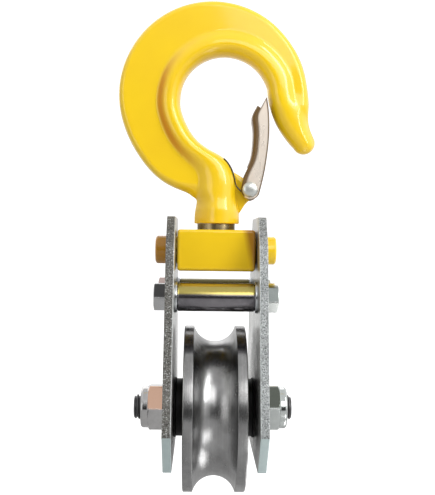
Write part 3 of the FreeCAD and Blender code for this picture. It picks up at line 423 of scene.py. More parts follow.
# A metal has a bright and a dull tone, gloss, scale and strength of its grain, and what is special.
drawn = {"stretch": (0.1, 1, 1), "mottle": 0.7}
looks = {
    enamelFinish: {
        "hookEnamel": ((253, 212, 26), (216, 138, 4), 0.3, 0.14),
        "crossheadEnamel": ((247, 205, 12), (172, 112, 12), 0.42, 0.4, 0.9)},
    cutEdgeFinish: {
        # the left plate's cut edge is a darker copy of the right one: painted shade, as the light comes from
        # the right
        "leftPlateCutEdge": ((146, 144, 138), (46, 45, 43), 0.38, 0.0),
        "rightPlateCutEdge": ((206, 210, 210), (50, 52, 52), 0.42, 0.3)},
    turnedSheaveFinish: {"turnedSheave": ()},
    latchFinish: {"latchZinc": ()},
    plasticFinish: {
        "blackDisc": ((7, 7, 7), 0.5), "insertNylon": ((232, 226, 208), 0.42),
        "cageNylon": ((216, 206, 180), 0.45), "sealRubber": ((32, 32, 34), 0.55)},
    metalFinish: {
        "plateFaceZinc": ((216, 216, 212), (172, 174, 172), 0.28, 420, 0.25,
            {"mottle": 0.7, "blotches": 90, "metallic": 0.8}),
        "plateTailZinc": ((196, 210, 209), (166, 180, 181), 0.4, 300, 0.12, {"metallic": 0.6}),
        # the tubes' upper sides carry a painted reflection of the yellow crosshead above them
        "frontTubeZinc": ((148, 145, 148), (104, 101, 107), 0.21, 900, 0.14,
            {**drawn, "over": ((196, 180, 96), 46.7, 30, 50)}),
        "rearTubeZinc": ((148, 145, 148), (104, 101, 107), 0.24, 900, 0.14,
            {**drawn, "over": ((96, 87, 34), 45, 30, 50)}),
        "nutZinc": ((214, 216, 218), (168, 172, 176), 0.18, 600, 0.1),
        # the upper flats of the axle nuts, the front bolt and the guard nut carry painted reflections, light
        # or dark
        "leftAxleNutZinc": ((206, 205, 204), (158, 156, 156), 0.14, 600, 0.1,
            {"over": ((222, 180, 154), 1.1, 26, -3)}),
        "rightAxleNutZinc": ((222, 226, 224), (176, 182, 180), 0.14, 600, 0.1,
            {"over": ((84, 90, 80), 1.8, 26, -3)}),
        "frontBoltZinc": ((206, 207, 208), (170, 170, 170), 0.18, 600, 0.1,
            {"over": ((38, 38, 38), 45.3, 23.2, -17)}),
        "rearBoltZinc": ((206, 186, 180), (172, 154, 149), 0.18, 600, 0.1),
        "guardNutZinc": ((226, 229, 226), (196, 200, 198), 0.2, 600, 0.1,
            {"over": ((68, 74, 73), 44, 23.2, -17)}),
        "studSteel": ((120, 120, 122), (78, 77, 78), 0.3, 900, 0.2),
        "neckSteel": ((166, 150, 114), (104, 90, 60), 0.28, 1600, 0.3, {"stretch": (0.05, 0.05, 1)}),
        "rivetZinc": ((236, 238, 232), (150, 154, 154), 0.34, 500, 0.3,
            {"blotches": 420, "relief": 0.05, "metallic": 0.8}),
        "springSteel": ((92, 84, 76), (56, 50, 46), 0.32, 1500, 0.2),
        "bearingSteel": ((196, 196, 198), (160, 160, 164), 0.14, 1200, 0.1),
        "washerBronze": ((196, 148, 82), (150, 104, 52), 0.3, 700, 0.2)},
}
finishes = {name: make(name, *look) for make, table in looks.items() for name, look in table.items()}
print("materials ready:", len(finishes))


def finishPiece(piece, body, slotName, *chosen, node=None):
    for name in chosen:
        piece.data.materials.append(finishes[name])
    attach(piece, body)
    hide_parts(node or piece.name.partition(".")[0])        # Blender adds .001 to a name in use


hook = {
    "collarBottom": 73.5, "collarRadius": 8.9, "neckHeight": 8.2, "neckDepth": 8.3, "waistDepth": 7.9,
    "collarRows": [(0, 0), (0.36, 0.04), (0.68, 0.38)], "collarShift": (0.35, 0.25), "collarWeb": 4.4,
    "lip": [(0.93, 0), (0.965, 0.04), (0.985, 0.16), (0.997, 0.36)], "lipHeight": 0.5,
    "bowl": (2.8, 49), "bowlRadius": 17.6, "back": (-1.9, 51.1), "backRadius": 37.5,
    "throatAngle": 200, "throatReach": 22.8, "neckReach": 27.7, "heelReach": 29.2,
    "waistAngle": 73, "waistReach": 8.4, "noseSwell": (30, 1.0),
    "ribWidth": 11, "ribWidthAtNose": 12.2, "ribHalf": 7, "webHalf": 3.9, "towardsNose": (-0.1, 0.15, 0.12),
    "crestShare": 0.37, "flankShare": 0.52, "fillet": 1.5, "edgeRound": 2.6,
    "nose": [((1.8, -5.9), 14, 14.8, 5.9, 0.32), ((5.1, -12.2), 25, 12.1, 5.4, 0.7),
             ((8.3, -16.4), 33, 10.2, 4.9, 0.94), ((10.3, -18.5), 28, 9.05, 4.4, 1)], "noseWeb": 0.88,
    "sectionPoints": 112, "rowsBetween": 10, "neckRows": 8, "bowlRows": 10, "capRows": 12,
}


def bowlRay(angle):
    # inner and outer point of the arm on a ray from the middle of the bowl
    ray, bowl = Vector(polar(1, angle)), Vector(hook["bowl"])
    offset = bowl - Vector(hook["back"])
    along = offset.dot(ray)
    reach = sqrt(along ** 2 - offset.dot(offset) + hook["backRadius"] ** 2) - along
    swellEnd, swell = hook["noseSwell"]
    reach += swell * (1 - smoothShare(angle, 0, swellEnd))
    return bowl + ray * hook["bowlRadius"], bowl + ray * reach


def neckRow(share):
    innerEnd, outerEnd = bowlRay(hook["throatAngle"])
    back = (outerEnd - Vector(hook["back"])).normalized()
    throat = Vector((hook["neckDepth"], hook["neckHeight"]))
    waist = Vector((-hook["waistDepth"], hook["neckHeight"]))
    inner = [throat, throat + Vector((0, hook["neckReach"])),
             innerEnd + Vector(polar(hook["throatReach"], hook["throatAngle"] + 90)), innerEnd]
    outer = [waist, waist + Vector(polar(hook["waistReach"], 180 - hook["waistAngle"])),
             outerEnd + Vector((-back.y, back.x)) * hook["heelReach"], outerEnd]
    start, end = bezierPoint(inner, share), bezierPoint(outer, share)
    fullness = (1 - share) ** 4
    return (*start, *end, mix(hook["ribWidth"], (end - start).length, fullness),
            mix(hook["ribHalf"], hook["collarRadius"], fullness * 0.7), hook["webHalf"], fullness)


def hookRows():
    # sections of the arm: inner and outer point, width of the rib, half thickness of rib and web, and how
    # far the section is one round from side to side
    height, collar = hook["neckHeight"], hook["collarRadius"]
    inner, outer = hook["collarShift"][0] + collar, hook["collarShift"][1] - collar
    rows = []
    for lift, share in hook["collarRows"]:      # the collar, a little off centre
        start, end = mix(inner, hook["neckDepth"], share), mix(outer, -hook["waistDepth"], share)
        rows.append((start, height * lift, end, height * lift, start - end, collar, hook["collarWeb"], 1))
    rows += [neckRow(i / hook["neckRows"]) for i in range(hook["neckRows"])]
    ribHalfMore, webHalfMore, rounder = hook["towardsNose"]
    for i in range(hook["bowlRows"] + 1):
        share = i / hook["bowlRows"]
        start, end = bowlRay(hook["throatAngle"] * (1 - share))
        ribWidth = mix(hook["ribWidth"], hook["ribWidthAtNose"], smoothShare(share, 0.3, 1))
        rows.append((*start, *end, ribWidth, hook["ribHalf"] * (1 + ribHalfMore * share),
                     hook["webHalf"] * (1 + webHalfMore * share ** 2), rounder * share ** 4))
    edge = bowlRay(0)[0]
    for shift, angle, width, half, fullness in hook["nose"]:
        start = edge + Vector(shift)
        rows.append((*start, *(start + Vector(polar(width, angle))), min(width, hook["ribWidthAtNose"]),
                     half, half * hook["noseWeb"], fullness))
    return rows


def noseCap(last):
    # the round end of the nose, beyond the last section
    start, end = Vector(last[:2]), Vector(last[2:4])
    across = (end - start).normalized()
    ahead = Vector((across.y, -across.x))
    caps = []
    for step in range(1, hook["capRows"] + 1):
        turn = pi / 2 * step / (hook["capRows"] + 0.6)       # the last row stays open
        middle = (start + end) / 2 + ahead * last[5] * sin(turn)
        half = (end - start) / 2 * cos(turn)
        caps.append((*(middle - half), *(middle + half), *(size * cos(turn) for size in last[4:7]), 1))
    return caps


def sectionRing(row):
    innerX, innerZ, outerX, outerZ, ribWidth, ribHalf, webHalf, fullness = row
    width = hypot(outerX - innerX, outerZ - innerZ)
    crest = mix(ribWidth * hook["crestShare"], width / 2, fullness)
    flank = mix(ribWidth * hook["flankShare"], width - crest, fullness)
    edge = mix(hook["edgeRound"], width - crest, fullness)
    web = webHalf * (1 - fullness ** 2)
    ring = []
    for i in range(hook["sectionPoints"]):
        turn = 2 * pi * i / hook["sectionPoints"]
        along = width * (1 - cos(turn)) / 2
        reach = crest if along < crest else flank
        half = ribHalf * sqrt(max(0, 1 - ((crest - along) / reach) ** 2))
        if along > crest:
            half = -softMinimum(-half, -web, hook["fillet"])
        if along > width - edge:
            half *= sqrt(max(0, 1 - ((along - width + edge) / edge) ** 2))
        ring.append((mix(innerX, outerX, along / width), copysign(half, sin(turn)),
                     mix(innerZ, outerZ, along / width) + hook["collarBottom"]))
    return ring


def makeHook():
    rows = splineRows(hookRows(), hook["rowsBetween"])
    rings = [sectionRing(row) for row in rows + noseCap(rows[-1])]
    bottom = hook["collarBottom"]
    lip = [[(x * shrink, y * shrink, bottom + lift) for x, y, z in rings[0]] for shrink, lift in hook["lip"]]
    rings = lip + [ring for ring in rings if ring[0][2] > bottom + hook["lipHeight"]]
    forging = facesOutwards(makeMesh("hook_forging", *skinRings(rings)))
    fin = makeLug()
    modify(forging, "lugWeld", "BOOLEAN", operation="UNION", solver="EXACT", object=fin)
    baked(forging)
    bpy.data.objects.remove(fin)
    sharpen(forging, 50)
    paintSlopeShade(forging.data)
    return forging


lug = {"eye": 3.7, "half": 2, "corner": 0.8, "foot": [(0, 76), (8.9, 77.4), (11.6, 81.6)],
       "top": [(11.2, 91.4), (7, 94), (0, 95)], "edge": [(0.35, 0), (0.1, 0.1), (0, 0.35)]}


def makeLug():
    # the fin that carries the latch, with an eye round the rivet
    eye = [polar(lug["eye"], angle, latch["pivot"]) for angle in range(-84, 72, 12)]
    outline = roundCorners(lug["foot"] + eye + lug["top"], lug["corner"], 3)
    levels = [(shrink, lift - lug["half"]) for shrink, lift in lug["edge"]]
    rings = []
    for shrink, y in levels + [(shrink, -y) for shrink, y in reversed(levels)]:
        rings.append([(x - shrink * outward[0], y, z - shrink * outward[1])
                      for (x, z), outward in zip(outline, outlineNormals(outline))])
    return facesOutwards(makeMesh("lug", *skinRings(rings)))


slopeShade = {"facing": 192, "spread": (64, 22), "slope": (0.25, 0.8), "reach": 26.5, "band": (6, 3)}


def paintSlopeShade(mesh):
    # painted shade where the rib falls away to the web, on the side that looks away from the bowl, round the
    # bowl's left
    bowl = Vector((hook["bowl"][0], 0, hook["bowl"][1] + hook["collarBottom"])) * mm
    shades = []
    for vertex, normal in zip(mesh.vertices, mesh.vertex_normals):
        away = vertex.co - bowl
        away.y = 0
        around = degrees(atan2(away.z, away.x)) % 360
        inBowl = smoothShare(abs(around - slopeShade["facing"]), *slopeShade["spread"])
        slope = smoothShare(normal.vector.dot(away.normalized()), *slopeShade["slope"])
        slope *= smoothShare(abs(away.length / mm - slopeShade["reach"]), *slopeShade["band"])
        shades.append(slope * inBowl)
    mesh.attributes.new("slopeShade", "FLOAT", "POINT").data.foreach_set("value", shades)


latch = {
    "pivot": (13.1, 87.0), "face": 5.3, "wall": 1.2, "bend": 2.7, "foot": 3.95, "hole": 2.05, "edge": 0.22,
    "levels": [(-4.2, -4.4, 2.9), (0.2, -4, 4.05), (5.6, -2.7, 5.3), (11.6, -0.1, 6.3), (18.9, 1, 7.1),
               (25.5, 0.9, 7.3), (29.1, 0.6, 7.15), (33.5, 2.6, 6.7), (37, 3.6, 6.1)],
    "notchHeight": 9.5, "notchShare": 0.6,
    "top": [(2.6, 33.5), (3.8, 32), (6.0, 36.6), (8.3, 36.6)],      # spine tip, bottom of the V, pointed ear
    "footRows": 14, "notchRows": 10, "rows": 64, "earColumns": 16, "bendColumns": 10, "spineColumns": 10,
    "bendTint": (0.1, 0.8), "sheetTint": (-0.75, -0.3), "footTint": (-0.5, -0.15),
}
latchHeight, *latchCurves = np.array(splineRows(latch["levels"], 6)).T


def latchLevel(height):
    # back of the spine and edge of the ears at a height above the pivot
    return [float(np.interp(height, latchHeight, curve)) for curve in latchCurves]


def channelColumns():
    # columns across the sheet, from the front ear's edge round the spine to the rear ear's edge
    ear, bend, spine = ([(part, i / latch[part + "Columns"]) for i in range(latch[part + "Columns"])]
                        for part in ("ear", "bend", "spine"))
    half = ear + bend + [("bend", 1)]
    return [(side, *column) for side, columns in ((-1, half), (0, spine[1:]), (1, half[::-1]))
            for column in columns]


def channelPoint(column, height):
    side, part, share = column
    back, edge = latchLevel(height)
    face, bend = latch["face"], latch["bend"]
    if height < 0:
        reach = sqrt(max(latch["foot"] ** 2 - height ** 2, 0.01))
        back, edge = max(back, -reach), min(edge, reach)
        bend = min(bend, (edge - back) * 0.45)
    if part == "ear":
        return mix(edge, back + bend, share), side * face
    if part == "bend":
        turn = pi / 2 * share
        return back + bend - bend * sin(turn), side * (face - latch["bend"] * (1 - cos(turn)))
    return back, (face - latch["bend"]) * (2 * share - 1)


def latchHeights(column):
    foot, notch = latch["foot"], latch["notchHeight"]
    low = [-foot * cos(radians(4 + 86 * i / latch["footRows"])) for i in range(latch["footRows"])]
    low += [notch * i / latch["notchRows"] for i in range(latch["notchRows"])]
    top = latch["top"][1][1]
    for attempt in range(8):      # the cut's height depends on where the column stands there
        top = float(np.interp(channelPoint(column, top)[0], *zip(*latch["top"])))
    return low + [mix(notch, top, i / latch["rows"]) for i in range(latch["rows"] + 1)]


def ontoPivot(piece):
    # lays a piece that was turned about X across the latch, on its pivot
    place = Vector((latch["pivot"][0], 0, latch["pivot"][1])) * mm
    piece.data.transform(Matrix.Translation(place) @ Matrix.Rotation(pi / 2, 4, "Z"))
    return piece


def makeLatch():
    pivotX, pivotZ = latch["pivot"]
    columns = channelColumns()
    points, faces = [], []
    for column in columns:
        for height in latchHeights(column):
            along, across = channelPoint(column, height)
            points.append((pivotX + along, across, pivotZ + height))
    count = len(points) // len(columns)
    notchRow = latch["footRows"] + latch["notchRows"]
    for i in range(len(columns) - 1):
        inSpine = all(part == "spine" or (part == "bend" and share >= latch["notchShare"] - 0.01)
                      for side, part, share in columns[i:i + 2])
        for row in range(notchRow if inSpine else 0, count - 1):
            low = i * count + row
            faces.append((low, low + count, low + count + 1, low + 1))
    used = sorted({i for face in faces for i in face})
    order = {old: new for new, old in enumerate(used)}
    sheet = makeMesh("latch", [points[i] for i in used], [[order[i] for i in face] for face in faces])
    modify(sheet, "wall", "SOLIDIFY", thickness=latch["wall"] * mm, offset=1, use_even_offset=True)
    punch = ontoPivot(turnedPiece("punch", [(-9, 0.01), (-9, latch["hole"]), (9, latch["hole"]), (9, 0.01)],
                                  segments=48, ends="poles"))
    modify(sheet, "eye", "BOOLEAN", operation="DIFFERENCE", solver="EXACT", object=punch)
    modify(sheet, "edge", "BEVEL", width=latch["edge"] * mm, segments=3, limit_method="ANGLE",
           angle_limit=radians(50))
    baked(sheet)
    bpy.data.objects.remove(punch)
    sharpen(sheet, 45)
    sheetShade = []
    for vertex in sheet.data.vertices:      # how much painted shade the sheet gets: at the bends and the cut edges
        x, z = vertex.co.x / mm - pivotX, vertex.co.z / mm - pivotZ
        back, edge = latchLevel(z)
        tints = [smoothShare(latch["bend"] + back - x, *latch["bendTint"]),
                 smoothShare(x - edge, *latch["sheetTint"])]
        if z < 0:
            tints.append(smoothShare(hypot(x, z) - latch["foot"], *latch["footTint"]))
        sheetShade.append(max(tints))
    sheet.data.attributes.new("bend", "FLOAT", "POINT").data.foreach_set("value", sheetShade)
    return sheet


finishPiece(makeHook(), "hook", "hook_paint", "hookEnamel", node="hook")
print("hook forging ready")
finishPiece(makeLatch(), "latch", "latch_zinc", "latchZinc")
print("latch ready")

# the turned shank below the collar, drawn along Z from the middle of the sheave
shank = {"edge": 0.35, "outline": [(55.15, nearAxis), (55.15, 6), (61.55, 6), (61.55, 7.5), (73.8, 7.5),
                                   (73.8, nearAxis)]}
shankPiece = turnedPiece("hook_shank", roundCorners(shank["outline"], shank["edge"], 3), ends="poles")
shankPiece.data.transform(Matrix.Rotation(-pi / 2, 4, "Y"))
finishPiece(facesOutwards(shankPiece), "hook", "stud_steel", "neckSteel", node="hook")

# the rivet through lug and latch
rivet = {"face": 5.35, "head": 3.05, "dome": 1.3, "shank": 1.98, "rim": 0.12, "flatter": 0.9}
face, head = rivet["face"], rivet["head"]
rivetHalf = [(face + rivet["dome"] * cos(radians(a)),
              head * sin(radians(a)) ** rivet["flatter"]) for a in range(2, 89, 6)]
rivetHalf += [(face + rivet["rim"], head), (face, head - 0.08), (face, rivet["shank"])]
rivetPiece = turnedPiece("latch_rivet", rivetHalf + mirrored(rivetHalf), segments=64, ends="poles")
finishPiece(ontoPivot(rivetPiece), "hook", "rivet_zinc", "rivetZinc")


class PieceNodes(Graph):
    # a Geometry Nodes tree with named inputs, run once on a piece
    def __init__(self, name, **inputs):
        super().__init__(bpy.data.node_groups.new(name, "GeometryNodeTree"))
        kinds = {float: "Float", int: "Int", bpy.types.Material: "Material", type(None): "Geometry"}
        self.values = {}
        for key, value in {"Geometry": None, **inputs}.items():
            made = self.tree.interface.new_socket(key, in_out="INPUT",
                                                  socket_type="NodeSocket" + kinds[type(value)])
            if value is not None:
                self.values[made.identifier] = value
        self.tree.interface.new_socket("Geometry", in_out="OUTPUT", socket_type="NodeSocketGeometry")
        self.source = self.tree.nodes.new("NodeGroupInput")

    def input(self, name):
        return Value(self, self.source.outputs[name])

    def run(self, geometry, piece):
        real = self.node("GeometryNodeRealizeInstances", sockets={0: geometry})
        last = self.node("GeometryNodeSetMaterial", sockets={0: real, "Material": self.input("Finish")})
        self.node("NodeGroupOutput", sockets={0: last})
        modifier = modify(piece, self.tree.name, "NODES", node_group=self.tree)
        for identifier, value in self.values.items():
            modifier[identifier] = value
        return baked(piece)


def cutThread(piece, finish, pitch, depth, low, high, radius, centre=(0, 0), flank=(0.12, 0.8)):
    # cuts a helical thread into a turned bar along X, outside the plain stretch from low to high
    tree = PieceNodes("thread", Pitch=pitch * mm, Depth=depth * mm, PlainFrom=low * mm, PlainTo=high * mm,
                      Radius=radius * mm, Finish=finishes[finish])
    along, across, up = tree.parts(tree.node("GeometryNodeInputPosition"))
    across, up = across - centre[0] * mm, up - centre[1] * mm
    turn = tree.maths("ARCTAN2", up, across) / (2 * pi)
    phase = tree.maths("WRAP", along / tree.input("Pitch") - turn, 1.0, 0.0)
    slope = tree.maths("ABSOLUTE", phase - 0.5) * 2
    groove = tree.node("ShaderNodeMapRange", {"clamp": True}, {0: slope, 1: flank[0], 2: flank[1]})
    reach = tree.maths("SQRT", across * across + up * up)
    threaded = tree.maths("LESS_THAN", along, tree.input("PlainFrom")) + tree.maths(
        "GREATER_THAN", along, tree.input("PlainTo"))
    limit = tree.input("Radius") - groove * tree.input("Depth")
    inwards = (tree.maths("MINIMUM", limit / (reach + 1e-7), 1.0) - 1) * threaded
    move = tree.node("ShaderNodeCombineXYZ", sockets={1: across * inwards, 2: up * inwards})
    return tree.run(tree.node("GeometryNodeSetPosition", sockets={
        "Geometry": tree.input("Geometry"), "Offset": move}), piece)


def bendWire(name, finish, points, radius):
    # wire of round section along a smooth path
    curve = bpy.data.curves.new(name, "CURVE")
    curve.dimensions = "3D"
    addLine(curve, points)
    tree = PieceNodes("wire", WireRadius=radius * mm, Sides=16, Finish=finishes[finish])
    line = tree.node("GeometryNodeMeshToCurve", sockets={"Mesh": tree.input("Geometry")})
    section = tree.node("GeometryNodeCurvePrimitiveCircle", sockets={
        "Resolution": tree.input("Sides"), "Radius": tree.input("WireRadius")})
    swept = tree.node("GeometryNodeCurveToMesh", sockets={"Curve": line, "Profile Curve": section,
                                                          "Fill Caps": True})
    smooth = tree.node("GeometryNodeSetShadeSmooth", sockets={0: swept})
    return facesOutwards(tree.run(smooth, filledCurve(name, curve)))


def addLine(curve, points, closed=False):
    line = curve.splines.new("POLY")
    line.points.add(len(points) - 1)
    for point, (x, y, *z) in zip(line.points, points):
        point.co = (x * mm, y * mm, z[0] * mm if z else 0, 1)
    line.use_cyclic_u = closed


spring = {"wire": 0.27, "radius": 2.9, "pitch": 0.75, "across": 3.45, "startAngle": 216, "endAngle": 720,
          "neckShares": (0.39, 0.34, 0.29, 0.24, 0.19, 0.14, 0.11), "leg": 10, "gap": 0.1,
          "legShape": [(0, 0.02), (0, 0.3), (0, 0.6), (0, 0.85), (1, 1), (4, 1)]}


def springOnNeck(share):
    # where the wire lies on the neck's inner side
    innerX, innerZ, outerX, outerZ, ribWidth, ribHalf = neckRow(share)[:6]
    across = Vector((outerX - innerX, outerZ - innerZ)).normalized()
    depth = ribWidth / 2 * (1 - sqrt(1 - (spring["across"] / ribHalf) ** 2))
    depth -= spring["wire"] + spring["gap"]
    return (innerX + across.x * depth, -spring["across"], innerZ + across.y * depth + hook["collarBottom"])


coil = []
for angle in range(spring["startAngle"], spring["endAngle"] + 1, 9):
    x, z = polar(spring["radius"], angle, latch["pivot"])
    coil.append((x, -spring["across"] + spring["pitch"] * (angle - spring["startAngle"]) / 360, z))
neckCurve = splineRows([springOnNeck(share) for share in spring["neckShares"]] + coil[:3], 5)
coilWire = bendWire("latch_spring", "springSteel", neckCurve + coil[3:], spring["wire"])
finishPiece(coilWire, "hook", "spring_steel")
foot = Vector(coil[-1])
legCurve = splineRows([foot + Vector((0, aside, spring["leg"] * up)) for aside, up in spring["legShape"]], 6)
finishPiece(bendWire("latch_spring_leg", "springSteel", legCurve, spring["wire"]), "latch", "spring_steel")
print("rivet and spring ready")

sheave = {"radius": 32.48, "face": 12, "grooveHalf": 8.25, "grooveDepth": 6.2, "lipRound": 0.55,
          "wall": [(12, 30.48 - 3.5 * i) for i in range(5)],
          # the bore's edge, a circlip groove, the race's seat and its shoulder
          "bore": [(12, 15.4), (11.6, 15), (11.06, 15), (11.06, 15.7), (10.02, 15.7), (10.02, 15), (1, 15),
                   (1, 13)]}


def sheaveOutline():
    radius, face, half, depth = (sheave[key] for key in ("radius", "face", "grooveHalf", "grooveDepth"))
    grooveRadius = (half ** 2 + depth ** 2) / (2 * depth)
    centre, reach = radius - depth + grooveRadius, asin(half / grooveRadius)
    groove = [(grooveRadius * sin(reach * i / 32), centre - grooveRadius * cos(reach * i / 32))
              for i in range(-31, 32)]
    lip = roundCorners([groove[-1], (half, radius), (face, radius), (face, radius - 3)],
                       sheave["lipRound"], 5)
    lip = [point for point in lip if point[0] > groove[-1][0] and point[1] > radius - 2]
    side = lip + sheave["wall"] + sheave["bore"]
    return groove + side + mirrored(side)


finishPiece(turnedPiece("sheave", sheaveOutline(), segments=256, sharpAngle=28), "sheave", "turned_steel",
            "turnedSheave")
print("sheave ready")

stud = {"outline": [(-31.75, nearAxis), (-31.75, 4.1), (-30.85, 5), (-13, 5), (13, 5), (29.95, 5),
                    (30.85, 4.1), (30.85, nearAxis)], "step": 0.13, "thread": (1.5, 0.85, -13, 13, 5)}
bar = turnedPiece("axle_stud", divided(stud["outline"], stud["step"]), segments=72, ends="poles",
                  sharpAngle=0)
cutThread(bar, "studSteel", *stud["thread"])
sharpen(bar, 55)
finishPiece(bar, "frame", "stud_steel")

# round pieces of the frame: outlines of (along, radius), on the right where there are two
lockNut = {"flats": 17, "tilt": {"left": 6, "right": 10}, "step": 0.16, "outline": [
    (19.45, 5.02), (18.95, 5.52), (18.95, 8.4), (19.55, 9.96495), (25.2, 9.96495), (26, 8.4), (26.3, 8.2),
    (27.75, 8.2), *(polar(1.1, angle, (27.85, 7.1)) for angle in range(90, -1, -10)),
    (28.95, 6.75), (28.7, 6.4), (26.95, 6.4), (26.95, 5.02)]}
guardBolt = {"flats": 10, "tilt": {"front": 0, "rear": 30}, "step": 0.14, "threadStep": 0.12, "outline": [
    (-23.55, nearAxis), (-23.55, 4.55), (-23.05, 5.8735), (-19.2, 5.8735), (-19.15, 4.85), (-18.95, 4.8),
    (-18.95, 3.01)], "shank": [(-18.94, 3), (12, 3)], "end": [(12, 3), (23.25, 3), (23.75, 2.5),
    (23.75, nearAxis)], "centre": (16, 45.3), "thread": (1.0, 0.55, -100, 12.5, 3)}
guardNut = {"flats": 10, "tilt": {"front": -14, "rear": 8}, "step": 0.14, "outline": [
    (19.3, 3.02), (18.95, 3.4), (18.95, 4.9), (19.35, 5.8735), (22.95, 5.8735), (23.55, 4.7), (23.55, 3.4),
    (23.2, 3.02)]}
nutInsert = ringOutline(26.97, 28.65, 5.02, 6.38, 0.35)
tube, washer = ringOutline(-14.6, 14.6, 3.3, 5.4, 0.7, 4), ringOutline(14.6, 15.7, 3.02, 6, 0.2)
disc = roundCorners([(10, 5.02), (15.7, 5.02), (15.7, 11.8), (15.2, 11.8), (14.9, 11.3), (12.3, 11.3),
                     (12.3, 7.3), (10, 7.3)], 0.25, 3)


def addRound(name, outline, slotName, look, *more, **settings):
    finishPiece(turnedPiece(name, outline, *more, **settings), "frame", slotName, look)


sides = {"left": -1, "right": 1}
closing = [lockNut["outline"][-1], lockNut["outline"][0]]
lockNutOutline = divided(lockNut["outline"], lockNut["step"])[:-1] + divided(closing, 2)[:-1]
for side, sign in sides.items():
    addRound(f"axle_nut_{side}", lockNutOutline, "nut_zinc", f"{side}AxleNutZinc", segments=180,
             flats=lockNut["flats"], tilt=lockNut["tilt"][side], sharpAngle=24, mirror=sign)
    addRound(f"nut_insert_{side}", nutInsert, "nylon", "insertNylon", mirror=sign)
    addRound(f"bearing_spacer_{side}", disc, "black_plastic", "blackDisc", segments=128, sharpAngle=50,
             mirror=sign)

boltOutline = divided(guardBolt["outline"], guardBolt["step"]) + divided(guardBolt["shank"], 6)[:-1]
boltOutline += divided(guardBolt["end"], guardBolt["threadStep"])
nutOutline = divided(guardNut["outline"], guardNut["step"])
for row, sign in (("front", -1), ("rear", 1)):
    centre = (sign * guardBolt["centre"][0], guardBolt["centre"][1])
    bolt = turnedPiece(f"guard_bolt_{row}", boltOutline, centre, 132, guardBolt["flats"],
                       guardBolt["tilt"][row], "poles", 24)
    cutThread(bolt, f"{row}BoltZinc", *guardBolt["thread"], centre)
    sharpen(bolt, 28)
    finishPiece(bolt, "frame", "bolt_zinc")
    addRound(f"guard_nut_{row}", nutOutline, "nut_zinc", "guardNutZinc", centre, 132, guardNut["flats"],
             guardNut["tilt"][row], sharpAngle=24)
    addRound(f"spacer_tube_{row}", tube, "tube_zinc", f"{row}TubeZinc", centre, 128, sharpAngle=50)
    for side, way in sides.items():
        addRound(f"tube_washer_{row}_{side}", washer, "nut_zinc", "nutZinc", centre, 96, sharpAngle=50,
                 mirror=way)
print("axle, nuts, bolts, tubes, washers and discs ready")

plate = {"inside": 15.7, "wall": 3.25, "edge": 0.22, "waver": 0.05, "step": 0.9, "weld": 0.004,
         "outline": [(-28.5, -18), (28.5, -18), (40.5, -1.9), (23.5, 65.3), (15, 75.9), (-15, 75.9),
                     (-23.5, 65.3), (-40.5, -1.9)], "tail": -1.9, "seeds": {"left": 41, "right": 58},
         "holes": [(0, 0, 5.2), (0, 63, 5.65), (16, 45.3, 3.2), (-16, 45.3, 3.2)], "cornerRound": 0.8}


def makePlate(side, middle):
    chance = random.Random(plate["seeds"][side])
    rounded = roundCorners(plate["outline"], plate["cornerRound"])
    line = divided(rounded + rounded[:1], plate["step"])[:-1]
    edge = plate["edge"]
    edgeLine = []
    for (x, y), normal in zip(line, outlineNormals(line)):
        depth = edge + chance.random() * (plate["waver"] if y > -1 else 0.01)
        edgeLine.append((x - normal[0] * depth, y - normal[1] * depth))
    curve = bpy.data.curves.new("plateOutline", "CURVE")
    curve.dimensions, curve.fill_mode = "2D", "BOTH"
    addLine(curve, edgeLine, True)
    for x, y, radius in plate["holes"]:
        addLine(curve, [polar(radius + edge, angle, (x, y)) for angle in range(0, 360, 5)], True)
    curve.extrude = (plate["wall"] / 2 - edge) * mm
    curve.bevel_depth, curve.bevel_resolution = edge * mm, 2
    piece = filledCurve(f"side_plate_{side}", curve)
    piece.data.transform(Matrix(((0, 0, 1, middle * mm), (1, 0, 0, 0), (0, 1, 0, 0), (0, 0, 0, 1))))
    modify(piece, "weld", "WELD", merge_threshold=plate["weld"] * mm)
    facesOutwards(baked(piece))
    piece.data.shade_smooth()
    sharpen(piece, 12)      # keeps the big faces flat
    for face in piece.data.polygons:        # face, tail's underside or cut edge
        tail = face.normal.z < -0.4 and face.center.z < plate["tail"] * mm
        face.material_index = 0 if abs(face.normal.x) > 0.8 else 2 if tail else 1
    return piece


for side, sign in sides.items():
    finishPiece(makePlate(side, sign * (plate["inside"] + plate["wall"] / 2)), "frame", "plate_zinc",
                "plateFaceZinc", f"{side}PlateCutEdge", "plateTailZinc")
print("side plates ready")

# finishes for the CAD pieces that stay
keptFinishes = {
    "crossheadEnamel": "crosshead", "washerBronze": "thrust_washer", "springSteel": "circlip",
    "bearingSteel": ("inner_race", "outer_race", "balls"), "studSteel": ("shank_nut", "inner_sleeve"),
    "cageNylon": "cage", "sealRubber": "seal",
}
for name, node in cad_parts.items():
    for finish, starts in keptFinishes.items():
        if name.startswith(starts):
            for slot in node.material_slots:
                slot.material = finishes[finish]
print("kept pieces dressed")


studio = {"floorHeight": -125, "wallDistance": 1100, "span": 1500, "curve": 300, "wallHeight": 1400,
          "tones": ((178, 178, 178), (184, 184, 184)), "seen": 0.85, "mirrored": (0.2, 0.8, 0.02, 0.6)}


